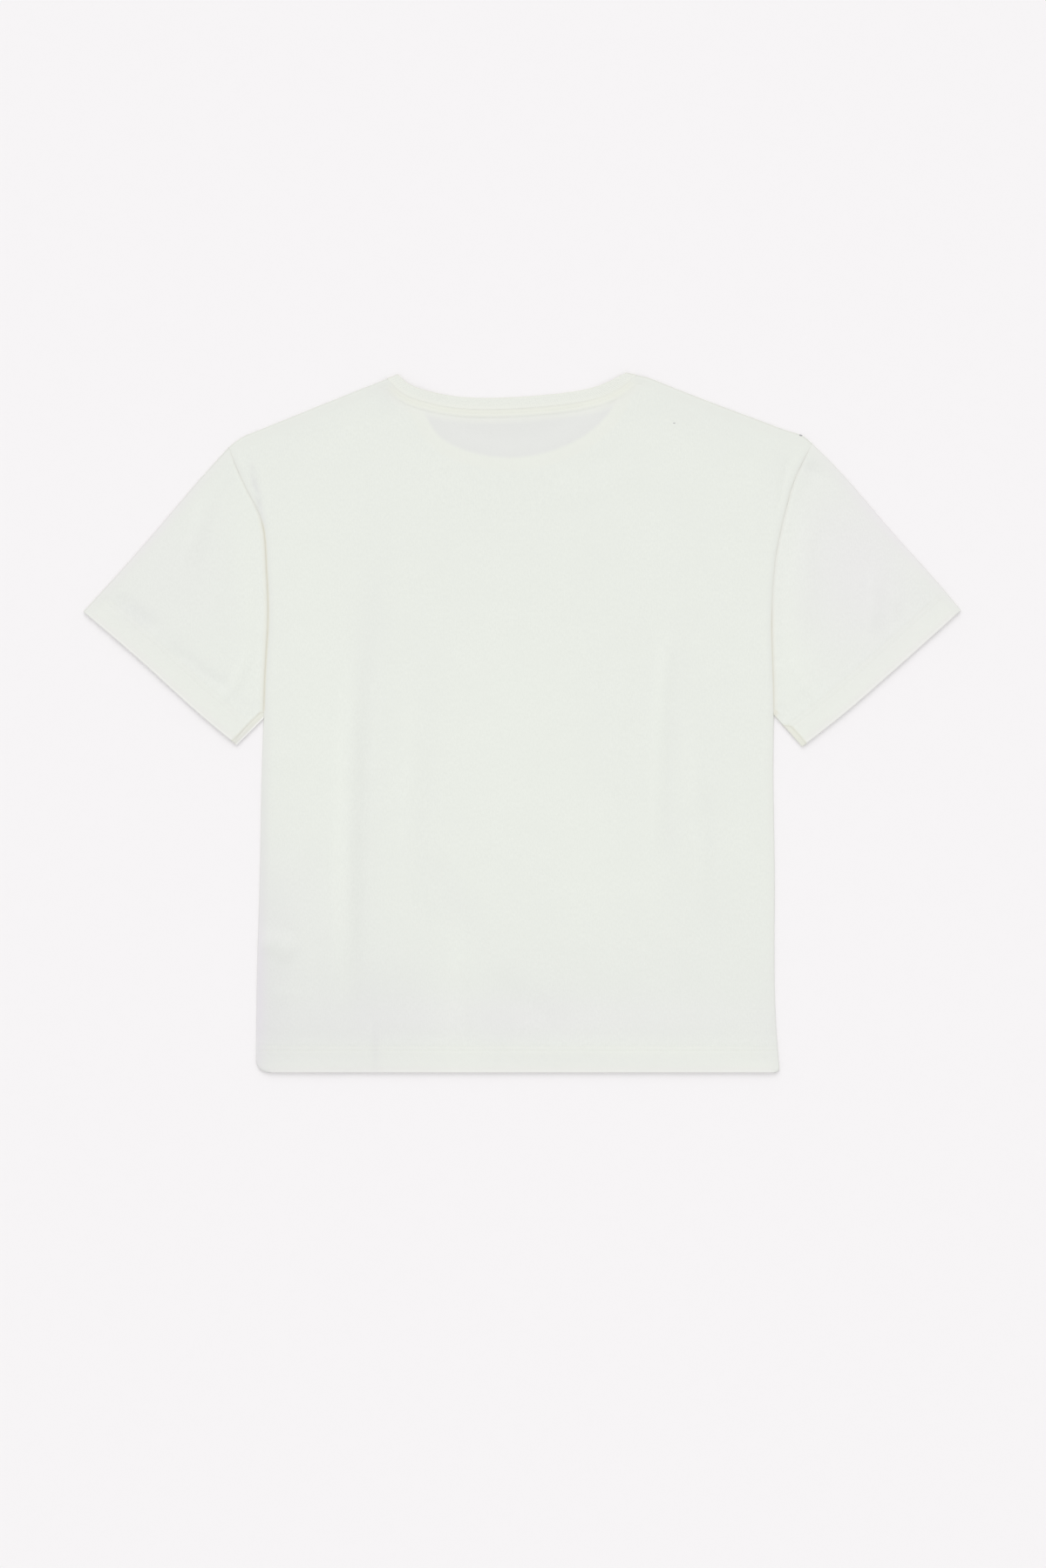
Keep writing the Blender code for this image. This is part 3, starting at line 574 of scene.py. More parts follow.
def crease_relief(points, creases):
    """The height that soft ridges and troughs add. Each fades over its own length at both ends."""
    relief = np.zeros(points.shape[:-1])
    for crease in creases:
        line = spline_through(np.array(crease.points) * MM, samples=CREASE_SAMPLES)
        away, along = nearest(line, points)
        across = -away / (crease.half_width * MM)
        leaning = across - crease.lean * (1 - np.clip(across, -1, 1) ** 2)
        past_end = np.minimum(along, length_of(line) - along)
        fade = smooth_step((past_end + 0.01 * MM) / (crease.fade * MM))
        relief += CREASE_SCALE * crease.height * MM * fade * bell(leaning)
    return relief


def tone(points, patches, even=EVEN_TONE):
    """How many levels the cloth is darker than its lightest tone, or more lilac where even is 0."""
    levels = np.full(points.shape[:-1], even)
    for patch in patches:
        turned = math.radians(patch.turn)
        away_x, away_y = points[..., 0] / MM - patch.x, points[..., 1] / MM - patch.y
        across = (away_x * math.cos(turned) + away_y * math.sin(turned)) / patch.reach_x
        up = (away_y * math.cos(turned) - away_x * math.sin(turned)) / patch.reach_y
        levels = levels + patch.levels * np.exp(-0.5 * (across**2 + up**2))
    return np.maximum(levels, 0)


def waves(along, pitch, seed):
    """Uneven waves along a seam, from -1 to 1: a few sines whose lengths don't repeat together."""
    draw = np.random.default_rng(seed)
    total = 0.0
    for stretch in (1.0, 1.37, 0.71, 2.3):
        total = total + np.sin(2 * np.pi * along / (pitch * stretch) + draw.uniform(0, 2 * np.pi))
    return total / 4


def ripples(points, pitch, seed, count=14):
    """Gentle unevenness without direction, about -1 to 1, with features of about this pitch."""
    draw = np.random.default_rng(seed)
    total = np.zeros(points.shape[:-1])
    for _ in range(count):
        angle = draw.uniform(0, np.pi)
        reach = pitch * draw.uniform(0.7, 1.6)
        phase = draw.uniform(0, 2 * np.pi)
        across = points[..., 0] * np.cos(angle) + points[..., 1] * np.sin(angle)
        total += np.sin(2 * np.pi * across / reach + phase)
    return total / math.sqrt(2 * count)


def rippled(points, kinds, seed):
    """The height of ripples of several kinds, each with a seed of its own."""
    return sum(wave.height * ripples(points, wave.pitch, seed + i) for i, wave in enumerate(kinds))


def opening_distance(points):
    """The distance to the front neckline, above zero inside the opening."""
    away = distance_to(FRONT_OPENING, points)
    line_y = np.interp(points[..., 0], FRONT_OPENING[:, 0], FRONT_OPENING[:, 1])
    in_width = (points[..., 0] > NECK_LEFT.x) & (points[..., 0] < NECK_RIGHT.x)
    return np.where(in_width & (points[..., 1] > line_y), away, -away)


def in_hem(distance, depth=HEM_DEPTH):
    """1 in a hem that is turned up by this depth, and down to 0 past its ridge."""
    return 1 - smooth_step((distance - depth) / HEM_RAMP)


def varied(wave, share=0.2):
    """1 at a wave's crests, and less by up to twice this share in its troughs."""
    return 1 - share + share * wave


def needle_rows(distance, along, rows, trough):
    """The small trough that each row of stitches pulls into the cloth, a little deeper at each hole."""
    pull = varied(np.cos(2 * np.pi * along / STITCH_PITCH))
    return sum(-trough.depth * pull * bell((distance - row) / trough.width) for row in rows)


def roping(along, depth, wave, seed):
    """The slanting waves of a turned-up hem."""
    return wave.height * waves(along + depth * ROPING_SLANT, wave.pitch, seed)


def puckers(distance, along, kind, seed):
    """Small waves that stand square to a seam and die away from it."""
    return kind.height * waves(along, kind.pitch, seed) * np.exp(-np.abs(distance) / kind.reach)


def seam_pull(points):
    """How firmly the armhole seam draws the cloth down: fully, but less near the shoulder tips."""
    fade_from = np.where(points[..., 0] < 0, *PULL_FADES_FROM)
    return 1 - PULL_FADE * smooth_step((points[..., 1] - fade_from) / PULL_FADE_REACH)


def seam_groove(points, from_armhole):
    """How deep the groove along the armhole seam is."""
    return SEAM_GROOVE.depth * seam_pull(points) * np.exp(-((from_armhole / SEAM_GROOVE.width) ** 2))


def seam_paleness(points):
    """How far off the olive shade inside an armhole seam is: least on the left, below the shoulder."""
    left, right = (
        grown.least + (1 - grown.least) * smooth_step((points[..., 1] - grown.start) / grown.reach)
        for grown in PALENESS
    )
    return np.where(points[..., 0] < 0, left, right)


def armpit_shade(side, under, along):
    """How far off the olive shade in the underarm seam is: least at the armpit, on the left."""
    return ARMPIT_SHADE + ARMPIT_FADE[side] * along + np.maximum(under - UNDERARM_LINE_AT, 0)


def underarm_paleness(side, along):
    """How much narrower the underarm seam shows: only on the right, and most at the armpit."""
    if side == "left":
        return 0.0
    return PALE_UNDERARM + PALE_ARMPIT * (1 - smooth_step((along - ARMPIT_SHARE) / ARMPIT_SHARE))


def upper_rest(opening):
    """The upper layer's top over the front panel, over its neckband and down into its opening."""
    over_band = BAND_STEP * bell((opening + BAND_WIDTH / 2) / BAND_STEP_REACH)
    into_opening = OPENING_SAG * smooth_step((opening - SAG_START) / SAG_REACH)
    return UPPER_TOP + over_band - into_opening


def at_corner(side, hem, radius):
    """The distance to a side, or to the rounded corner where the side meets the hem."""
    to_arc = radius - np.hypot(radius - side, radius - hem)
    return np.where((side < radius) & (hem < radius), to_arc, side)


Near = namedtuple("Near", "hem along_hem side armhole along_armhole neck along_neck shoulder opening")


def around_body(points, band_seam):
    """How far each point of a panel is from each of its edges."""
    left, right, top = panel_edges(band_seam)
    sides = [distance_to(line, points) for line in (left[0], right[0])]
    hem = points[..., 1] - HEM_LEFT.y
    sides = [at_corner(side, hem, radius) for side, radius in zip(sides, CORNER_ROUNDS)]
    armholes = [nearest(thinned(line), points) for line in (left[1], right[1])]
    armhole = [np.abs(item[0]) for item in armholes]
    neck, along_neck = nearest(thinned(band_seam), points)
    shoulders = [distance_to(line, points) for line in (top[0], top[2])]
    return Near(
        hem=hem,
        along_hem=points[..., 0] - HEM_LEFT.x,
        side=np.minimum(*sides),
        armhole=np.minimum(*armhole),
        along_armhole=np.where(armhole[0] < armhole[1], armholes[0][1], armholes[1][1]),
        neck=np.abs(neck),
        along_neck=along_neck,
        shoulder=np.minimum(*shoulders),
        opening=opening_distance(points),
    )


def seam_relief(points, near, seed):
    """What the seams do to the back's outer face: hem, neck strip, needle rows and puckers."""
    hem = in_hem(near.hem)
    height = HEM_PLY * hem
    height = height + needle_rows(near.hem, near.along_hem, HEM_ROWS, HEM_TROUGH)
    height += puckers(near.hem - HEM_DEPTH, near.along_hem, HEM_PUCKERS, seed)
    calm_edge = smooth_step(near.hem / CALM_EDGE)
    height += hem * calm_edge * roping(near.along_hem, near.hem, HEM_ROPING, seed + 1)
    height += NECK_STRIP_RISE * (1 - smooth_step((near.neck - NECK_STRIP) / NECK_STRIP_RAMP))
    height += needle_rows(near.neck, near.along_neck, NECK_ROWS, NECK_TROUGH)
    height += puckers(near.neck - NECK_STRIP, near.along_neck, NECK_PUCKERS, seed + 2)
    height += puckers(near.armhole, near.along_armhole, ARMHOLE_PUCKERS, seed + 3)
    height -= seam_groove(points, near.armhole)
    height += puckers(near.side, near.hem, SIDE_PUCKERS, seed + 4)
    height += puckers(near.shoulder, near.along_hem, SHOULDER_PUCKERS, seed + 5)
    return height


def back_top(points, near):
    """The height of the back panel's outer face."""
    height = upper_rest(near.opening) + HEM_PLY * in_hem(near.hem)
    height += crease_relief(points, BACK_CREASES)
    height += seam_relief(points, near, seed=11)
    height += rippled(points, BACK_RIPPLES, seed=3)
    height += HEM_LIFT * (1 - smooth_step(near.hem / HEM_LIFT_REACH))
    height -= HEM_DROP * (1 - rounded(near.hem / HEM_DROP_WIDTH))
    joined_edge = np.minimum(near.side, near.shoulder)
    return height - (UPPER_TOP - EDGE_MEETING) * (1 - rounded(joined_edge / EDGE_TUCK))


def front_top(points, near):
    """The height of the front panel's inner face, under the back."""
    return np.full(points.shape[:-1], LOWER_TOP) + HEM_PLY * in_hem(near.hem)


# ---------------------------------------------------------------- meshes


def grid_faces(numbers, wrapped_rows=False, wrapped_columns=False):
    """The four-sided faces between the vertices of a numbered grid."""
    rows = np.arange(numbers.shape[0] if wrapped_rows else numbers.shape[0] - 1)
    columns = np.arange(numbers.shape[1] if wrapped_columns else numbers.shape[1] - 1)
    row, column = (item.ravel() for item in np.meshgrid(rows, columns, indexing="ij"))
    above = (row + 1) % numbers.shape[0]
    beside = (column + 1) % numbers.shape[1]
    corners = numbers[row, column], numbers[row, beside], numbers[above, beside], numbers[above, column]
    return np.stack(corners, axis=1)


def two_sided(outer, inner, shared):
    """The points of two grids, and their numbers, where the shared places have one vertex for both."""
    outer_numbers = np.arange(outer[..., 0].size).reshape(outer.shape[:-1])
    inner_numbers = outer_numbers.copy()
    own = ~shared
    inner_numbers[own] = outer_numbers.size + np.arange(own.sum())
    points = np.concatenate([outer.reshape(-1, 3), inner[own]])
    return points, outer_numbers, inner_numbers


def place(name, data):
    """A new object in the scene, from a mesh, a light or a camera."""
    thing = bpy.data.objects.new(name, data)
    bpy.context.scene.collection.objects.link(thing)
    return thing


def make_piece(name, points, faces, material, fields):
    """A smooth mesh object with a material. fields are numbers that its material reads at each vertex."""
    mesh = bpy.data.meshes.new(name)
    mesh.from_pydata(points.tolist(), [], faces.tolist())
    shape = bmesh.new()
    shape.from_mesh(mesh)
    bmesh.ops.recalc_face_normals(shape, faces=shape.faces)
    shape.to_mesh(mesh)
    shape.free()
    mesh.shade_smooth()
    for field, values in fields.items():
        attribute = mesh.attributes.new(field, "FLOAT", "POINT")
        attribute.data.foreach_set("value", np.asarray(values, dtype=np.float32))
    mesh.materials.append(material)
    return place(name, mesh)


def both_sides(values, own):
    """A grid of values, and again for the inner face's own vertices."""
    return np.concatenate([values.ravel(), values[own]])


# ---------------------------------------------------------------- panels


def along_parts(parts, joints, shares):
    """Points along an edge made of several lines, which meet at the shares given as joints."""
    limits = [0.0, *joints, 1.0]
    points = np.zeros((len(shares), 2))
    for part, low, high in zip(parts, limits[:-1], limits[1:]):
        chosen = (shares >= low - 1e-9) & (shares <= high + 1e-9)
        points[chosen] = at_shares(part, (shares[chosen] - low) / (high - low))
    return points


def level_line(height, shares):
    """Points across the shirt at one height above the hem, from its left side to its right side."""
    y = HEM_LEFT.y + height
    insets = [radius * (1 - float(rounded(height / radius))) for radius in CORNER_ROUNDS]
    left, right = (np.interp(y, side[:, 1], side[:, 0]) for side in (LEFT_SIDE, RIGHT_SIDE))
    return at_shares(straight(Corner(left + insets[0], y), Corner(right - insets[1], y)), shares)


def line_above(line, height):
    y = HEM_LEFT.y + height
    start = np.interp(y, line[:, 1], line[:, 0])
    return np.concatenate([[[start, y]], line[line[:, 1] > y + 1e-6]])


def spaced(count, length, near_steps, far_steps, joints):
    """Shares from 0 to 1: close together at both ends, even between, and with the joints among them."""
    near = np.array([0.0, *near_steps]) / length
    far = 1 - np.array([0.0, *far_steps]) / length
    stops = [near[-1], *joints, far[-1]]
    runs = []
    for low, high in zip(stops[:-1], stops[1:]):
        steps = max(1, round(count * (high - low)))
        runs.append(np.linspace(low, high, steps, endpoint=False))
    return np.concatenate([near[:-1], *runs, far[::-1]])


def panel_grid(band_seam, net):
    """A net of points over a panel: level rows in its hem, then rows blended between its edges."""
    left, right, top = panel_edges(band_seam)
    width = HEM_RIGHT.x - HEM_LEFT.x
    across = spaced(net.columns, width, EDGE_STEPS, EDGE_STEPS, NECK_CORNER_SHARES)
    hem_rows = hem_steps(net.hem_step)
    start = hem_rows[-1]
    height = SHOULDER_TIP_LEFT.y - HEM_LEFT.y - start
    up = spaced(net.rows, height, (ABOVE_HEM_STEP,), NECK_STEPS, (UNDERARM_SHARE,))
    low_points = level_line(start, across)
    high_points = along_parts(top, NECK_CORNER_SHARES, across)
    left_points, right_points = (
        along_parts((line_above(side, start), armhole), (UNDERARM_SHARE,), up)[:, None]
        for side, armhole in (left, right)
    )
    u = across[None, :, None]
    v = up[:, None, None]
    ends = (
        (1 - u) * (1 - v) * low_points[0]
        + u * (1 - v) * low_points[-1]
        + (1 - u) * v * high_points[0]
        + u * v * high_points[-1]
    )
    blend = (1 - v) * low_points + v * high_points + (1 - u) * left_points + u * right_points
    hem = [level_line(step, across) for step in hem_rows[:-1]]
    return np.concatenate([hem, blend - ends])


def hem_steps(coarse):
    """Heights above the hem's edge of the rows of points in it, closer at the edge and the stitches."""
    fine = np.arange(HEM_NET_START, HEM_DEPTH / MM + HEM_NET_PAST, coarse) * MM
    return np.concatenate([[0.0], EDGE_STEPS[:4], fine])


def panel_shell(name, band_seam, net, top_of, flat_below, patches, cast, material):
    """A panel as a thin shell whose two faces meet in a rounded edge."""
    grid = panel_grid(band_seam, net)
    near = around_body(grid, band_seam)
    top = top_of(grid, near)
    on_edge = np.zeros(grid.shape[:-1], dtype=bool)
    on_edge[[0, -1]] = True
    on_edge[:, [0, -1]] = True
    open_edge = np.minimum.reduce([near.hem, near.side, near.shoulder])
    seam = np.minimum(near.armhole, near.neck - SEAM_GAP)
    share = np.minimum(rounded(open_edge / THICK_ROUND), rounded(seam / SEAM_ROUND))
    share = np.where(on_edge, 0.0, share)
    thickness = JERSEY + HEM_PLY * in_hem(near.hem)
    middle = top / 2 if flat_below else top - thickness / 2
    half = (top if flat_below else thickness) / 2 * share
    upper = np.dstack([grid, middle + half])
    lower = np.dstack([grid, middle - half])
    points, upper_numbers, lower_numbers = two_sided(upper, lower, on_edge)
    faces = np.concatenate([grid_faces(upper_numbers), grid_faces(lower_numbers)[:, ::-1]])
    fields = {
        field: both_sides(getattr(near, field), ~on_edge)
        for field in ("hem", "side", "armhole", "neck", "shoulder", "opening")
    }
    fields["olive"] = fields["armhole"] + both_sides(OLIVE_FADE * seam_paleness(grid), ~on_edge)
    fields["armhole"] = fields["armhole"] + both_sides(SEAM_FADE * (1 - seam_pull(grid)), ~on_edge)
    # Less of the painted edge shade on the right side.
    fields["side"] = fields["side"] + both_sides(np.where(grid[..., 0] > 0, PALE_EDGE, 0.0), ~on_edge)
    fields["cap"] = fields["strip"] = fields["under"] = np.full(len(points), FAR)
    fields["tone"] = both_sides(tone(grid, patches), ~on_edge)
    fields["lilac"] = both_sides(tone(grid, cast, even=0.0), ~on_edge)
    return make_piece(name, points, faces, material, fields)


# ---------------------------------------------------------------- sleeves


def sleeve_frame(side):
    """A sleeve's lines: the armhole seam's outer side, the cuff's edge and the outer fold."""
    seam = armhole_line(side)
    outward = left_of(seam) if side == "right" else -left_of(seam)
    armhole = seam + outward * SEAM_GAP
    top, under, cuff_edge, fold = (
        (CUFF_TOP_LEFT, CUFF_UNDER_LEFT, CUFF_EDGE_LEFT, FOLD_LEFT)
        if side == "left"
        else (CUFF_TOP_RIGHT, CUFF_UNDER_RIGHT, CUFF_EDGE_RIGHT, FOLD_RIGHT)
    )
    cuff = spline_through((top,) + cuff_edge + (under,))
    return armhole, cuff, spline_through((Corner(*armhole[0]),) + fold + (top,))


SleeveTop = namedtuple("SleeveTop", "height armhole cuff fold under along_under")


def sleeve_top(points, side, creases, seed):
    """The height of a sleeve's upper face, and how far each point is from its seams and edges."""
    armhole, cuff, fold = sleeve_frame(side)
    from_armhole, along_armhole = nearest(thinned(armhole), points)
    from_cuff, along_cuff = nearest(thinned(cuff), points)
    from_armhole, from_cuff = np.abs(from_armhole), np.abs(from_cuff)
    outer = distance_to(fold, points)
    underarm = straight(Corner(*armhole[-1]), Corner(*cuff[-1]))
    under, along_under = nearest(underarm[:: len(underarm) - 1], points)
    under, along_under = np.abs(under), along_under / length_of(underarm)
    inside = smooth_step(np.minimum(outer / FOLD_CALM, under / UNDERARM_CALM))
    hem = in_hem(from_cuff, CUFF_DEPTH)
    relief = crease_relief(points, creases)
    relief += needle_rows(from_cuff, along_cuff, CUFF_ROWS, HEM_TROUGH)
    relief += puckers(from_cuff - CUFF_DEPTH, along_cuff, CUFF_PUCKERS, seed)
    relief += hem * roping(along_cuff, from_cuff, CUFF_ROPING, seed + 1)
    relief += puckers(from_armhole, along_armhole, CAP_PUCKERS, seed + 2)
    relief += CAP_RIDGE * bell((from_armhole - CAP_RIDGE_AT) / CAP_RIDGE_WIDTH)
    relief -= seam_groove(points, from_armhole)
    relief += rippled(points, SLEEVE_RIPPLES, seed + 3)
    lift = CUFF_LIFT[side] * (1 - smooth_step(from_cuff / HEM_LIFT_REACH))
    relief += lift * varied(waves(along_cuff, CUFF_LIFT_PITCH, seed + 6))
    relief -= HEM_DROP * (1 - rounded(from_cuff / HEM_DROP_WIDTH))
    height = UPPER_TOP + 2 * HEM_PLY * hem + relief * inside
    return SleeveTop(height, from_armhole, from_cuff, outer, under, along_under)


def up_from_cuff(armhole, cuff, shares):
    """Vectors up the sleeve from the cuff's edge, one unit square to the cuff, along the nearer fold."""
    start, end = at_shares(armhole, shares), at_shares(cuff, shares)
    chord = (cuff[-1] - cuff[0]) / np.linalg.norm(cuff[-1] - cuff[0])
    square = np.array([-chord[1], chord[0]])
    square *= np.sign(square @ (armhole[0] - cuff[0]))
    sides = [(start[i] - end[i]) / np.linalg.norm(start[i] - end[i]) for i in (0, -1)]
    along = sides[0] * (1 - shares)[:, None] + sides[1] * shares[:, None]
    return along / (along @ square)[:, None]


def sleeve_lines(armhole, cuff, fold):
    """Lines from the outer fold to the underarm, from the armhole on to the cuff."""
    shares = np.linspace(0, 1, LINE_SAMPLES)
    start, end = at_shares(armhole, shares), at_shares(cuff, shares)
    upward = up_from_cuff(armhole, cuff, shares)
    fine = np.arange(CUFF_DEPTH / MM + CUFF_NET_PAST, CUFF_NET_START, -CUFF_STEP) * MM
    hem_steps_down = np.concatenate([fine, EDGE_STEPS[3::-1], [0.0]])
    above_hem = end + upward * hem_steps_down[0]
    rest = np.linalg.norm(above_hem - start, axis=1).mean()
    near = np.array([0.0, *EDGE_STEPS]) / rest
    spread = np.linspace(near[-1], 1, SLEEVE_SECTIONS + 1)[1:-1]
    lines = [start + (above_hem - start) * share for share in (*near, *spread)]
    lines += [end + upward * step for step in hem_steps_down]
    chord = end[0] - start[0]
    bowed = []
    for line in lines:
        down = float((line[0] - start[0]) @ chord / (chord @ chord))
        bow = at_shares(fold, [down])[0] - (start[0] + chord * down)
        bowed.append(line + bow * ((1 - shares) ** 3)[:, None])
    return bowed


def half_turn(radius, reach):
    """A half turn round a fold: how far each point is from the fold's edge, and its height."""
    angles = np.linspace(math.pi / 2, -math.pi / 2, FOLD_STEPS + 1)[1:-1]
    return reach - radius * np.cos(angles), reach + radius * np.sin(angles)


def sleeve_section(line, hem, squash):
    """The loops of points round a sleeve's outer and inner faces, along one line across it."""
    length = length_of(line)
    reach = (UPPER_TOP + 2 * HEM_PLY * hem) / 2
    thickness = JERSEY + HEM_PLY * hem
    fold_share, under_share = reach / length, 1 - squash * reach / length
    finer = 1 - SLEEVE_FINE_WIDTH / length
    coarse_shares = np.linspace(fold_share, finer, SLEEVE_ACROSS, endpoint=False)
    fine_shares = np.linspace(finer, under_share, SLEEVE_FINE)
    over = at_shares(line, np.concatenate([coarse_shares, fine_shares]))
    below = at_shares(line, np.linspace(under_share, fold_share, SLEEVE_BELOW))
    loops = []
    for radius in (reach, reach - thickness):
        inset, height = half_turn(radius, reach)
        upper = np.column_stack([over, np.full(len(over), reach + radius)])
        underarm = np.column_stack([at_shares(line, 1 - squash * inset / length), height])
        lower = np.column_stack([below, np.full(len(below), reach - radius)])
        fold = np.column_stack([at_shares(line, inset[::-1] / length), height[::-1]])
        loops.append(np.concatenate([upper, underarm, lower, fold]))
    return loops


def shape_sleeve(heights, top, flat, side):
    """Lifts a flat sleeve's upper face to its relief, then presses and raises its underarm seam."""
    on_top = np.arange(heights.shape[1]) < SLEEVE_ACROSS + SLEEVE_FINE
    near_underarm = 1 - smooth_step(top.under / UNDERARM_FLAP)
    near_underarm *= smooth_step(top.armhole / UNDERARM_START[side])
    heights += np.where(on_top, top.height - flat, 0.0)
    heights *= 1 - UNDERARM_PRESS[side] * near_underarm
    heights += UNDERARM_RAISE[side] * near_underarm


def sleeve_shell(sleeve, material):
    """A sleeve as a flattened tube: an upper face, a fold at each edge and a face on the floor."""
    side = sleeve.side
    armhole, cuff, outer_fold = sleeve_frame(side)
    lines = sleeve_lines(armhole, cuff, outer_fold)
    middles = np.array([at_shares(line, [0.5])[0] for line in lines])
    hems = in_hem(distance_to(cuff, middles), CUFF_DEPTH)
    sections = [sleeve_section(line, hem, UNDERARM_SQUASH[side]) for line, hem in zip(lines, hems)]
    outer, inner = (np.array(loops) for loops in zip(*sections))
    plan = outer[..., :2]
    top = sleeve_top(plan, side, sleeve.creases, sleeve.seed)
    flat = UPPER_TOP + 2 * HEM_PLY * hems[:, None]
    for surface in (outer, inner):
        shape_sleeve(surface[..., 2], top, flat, side)
    centre = (outer + inner) / 2
    share = np.minimum(rounded(top.armhole / SEAM_ROUND), rounded(top.cuff / THICK_ROUND))[..., None]
    share[[0, -1]] = 0.0
    outer, inner = centre + (outer - centre) * share, centre + (inner - centre) * share
    outer[..., 2] = np.maximum(outer[..., 2], 0.0)
    on_edge = np.zeros(plan.shape[:-1], dtype=bool)
    on_edge[[0, -1]] = True
    points, outer_numbers, inner_numbers = two_sided(outer, inner, on_edge)
    outer_faces = grid_faces(outer_numbers, wrapped_columns=True)
    inner_faces = grid_faces(inner_numbers, wrapped_columns=True)[:, ::-1]
    fields = sleeve_fields(sleeve, plan, top)
    fields = {field: both_sides(values, ~on_edge) for field, values in fields.items()}
    faces = np.concatenate([outer_faces, inner_faces])
    return make_piece(f"sleeve_{side}_cloth", points, faces, material, fields)


def sleeve_fields(sleeve, plan, top):
    """What the jersey's tints read on a sleeve."""
    side = sleeve.side
    far = np.full(plan.shape[:-1], FAR)
    paleness = seam_paleness(plan)
    armpit = armpit_shade(side, top.under, top.along_under)
    return {
        "hem": top.cuff,
        "cap": top.armhole + SEAM_FADE * (1 - seam_pull(plan)),
        "olive": np.minimum(top.armhole + OLIVE_FADE * paleness, armpit),
        "strip": top.armhole + STRIP_FADE * paleness,
        "under": top.under + underarm_paleness(side, top.along_under),
        "shoulder": top.fold + (PALE_FOLD if side == "right" else 0.0),
        "armhole": far, "side": far, "neck": far, "opening": -far,
        "tone": tone(plan, sleeve.patches), "lilac": tone(plan, sleeve.cast, even=0.0),
    }


# ---------------------------------------------------------------- neckband


def square_to_fold(opening_point, seam_point):
    """The level direction that points out of the shirt across a shoulder fold."""
    along = seam_point - opening_point
    outward = np.array([-along[1], along[0]]) / np.linalg.norm(along)
    return outward * np.sign(outward[1])


def band_profile():
    """Shares of the band's width, and of half its thickness, round its section."""
    turns = np.linspace(0, math.pi / 2, 4)[1:]
    edge = BAND_THICKNESS / 2 / BAND_WIDTH
    seam = SEAM_ROUND / BAND_WIDTH
    over = [(0.0, 0.0)]
    over += [(edge * (1 - math.cos(angle)), math.sin(angle)) for angle in turns]
    over += [(share, 1.0) for share in (0.2, 0.4, 0.6, 0.8, 0.93)]
    over += [(1 - seam * (1 - math.cos(angle)), math.sin(angle)) for angle in turns[::-1]]
    over += [(1.0, 0.0)]
    return over + [(width, -height) for width, height in over[-2:0:-1]]


def band_half_path(opening, seam, count):
    """Points along the two edges of half the band, stopping short of the folds to turn there."""
    shares = np.linspace(0, 1, count)
    edges = np.array([at_shares(opening, shares), at_shares(seam, shares)])
    reach = (UPPER_TOP + BAND_STEP - BAND_THICKNESS / 2) / 2 + BAND_FOLD_ROOM
    weight = np.clip(1 - np.minimum(shares, 1 - shares) * length_of(opening) / (4 * reach), 0, 1)
    for end in (0, -1):
        side = shares < 0.5 if end == 0 else shares >= 0.5
        edges[:, side] -= square_to_fold(*edges[:, end]) * reach * weight[side][:, None]
    return edges


def band_rings():
    """Sections along the band: its two edges, the height of its middle and how far it is turned over."""
    front = band_half_path(FRONT_OPENING, FRONT_SEAM, BAND_FRONT_POINTS)
    back = band_half_path(BACK_OPENING, BACK_SEAM, BAND_BACK_POINTS)
    low = BAND_THICKNESS / 2 + BAND_FLOOR_GAP
    heights = upper_rest(opening_distance(back.mean(axis=0))) + NECK_STRIP_RISE - BAND_THICKNESS / 2
    rings = [(*front[:, i], low, 0.0) for i in range(1, front.shape[1] - 1)]
    rings += fold_rings(front[:, -1], low, heights[-1])
    rings += [(*back[:, i], heights[i], math.pi) for i in range(back.shape[1] - 2, 0, -1)]
    return rings + fold_rings(front[:, 0], low, heights[0])[::-1]


def band_section(ring, groove):
    """The points round the band at one ring. groove is 1 in the middle between two ribs."""
    inner_edge, outer_edge, middle, tilt = ring
    outward = square_to_fold(inner_edge, outer_edge)
    normal = np.array([*(outward * math.sin(tilt)), -math.cos(tilt)])
    across = np.append(outer_edge - inner_edge, 0.0)
    base = np.append(inner_edge, middle)
    section = []
    for width, height in band_profile():
        inside = min(1.0, min(width, 1 - width) / RIB_MARGIN)
        thinner = RIB_DEPTH * groove * inside * (1 if height > 0 else RIB_UNDERNEATH)
        section.append(base + across * width + normal * height * (BAND_THICKNESS / 2 - thinner))
    return section


def neckband_shell(name, material):
    """The rib band as one ring, whose ribs run square to its edges, folded over at both shoulders."""
    rings = band_rings()
    opening = np.array([ring[0] for ring in rings])
    along = lengths_along(np.concatenate([opening, opening[:1]]))
    ribs = round(along[-1] / RIB_PITCH)
    grooves = [0.5 - 0.5 * math.cos(2 * math.pi * ribs * place / along[-1]) for place in along]
    sections = np.array([band_section(ring, groove) for ring, groove in zip(rings, grooves)])
    sections[..., 2] = np.maximum(sections[..., 2], BAND_LOWEST)
    numbers = np.arange(sections[..., 0].size).reshape(sections.shape[:-1])
    widths = np.array([width for width, _ in band_profile()])
    turned = [math.sin(ring[-1]) for ring in rings]
    fields = {"across": np.tile(widths * BAND_WIDTH, len(sections)), "turned": np.repeat(turned, len(widths))}
    faces = grid_faces(numbers, wrapped_rows=True, wrapped_columns=True)
    return make_piece(name, sections.reshape(-1, 3), faces, material, fields)


def fold_rings(ends, low, high):
    """The band's sections round one shoulder fold, from the lower half to the upper half."""
    outward = square_to_fold(*ends)
    radius = (high - low) / 2
    rings = []
    for tilt in np.linspace(0, math.pi, BAND_FOLD_RINGS):
        shift = outward * radius * math.sin(tilt)
        rings.append((ends[0] + shift, ends[1] + shift, low + radius * (1 - math.cos(tilt)), tilt))
    return rings


# ---------------------------------------------------------------- stitching


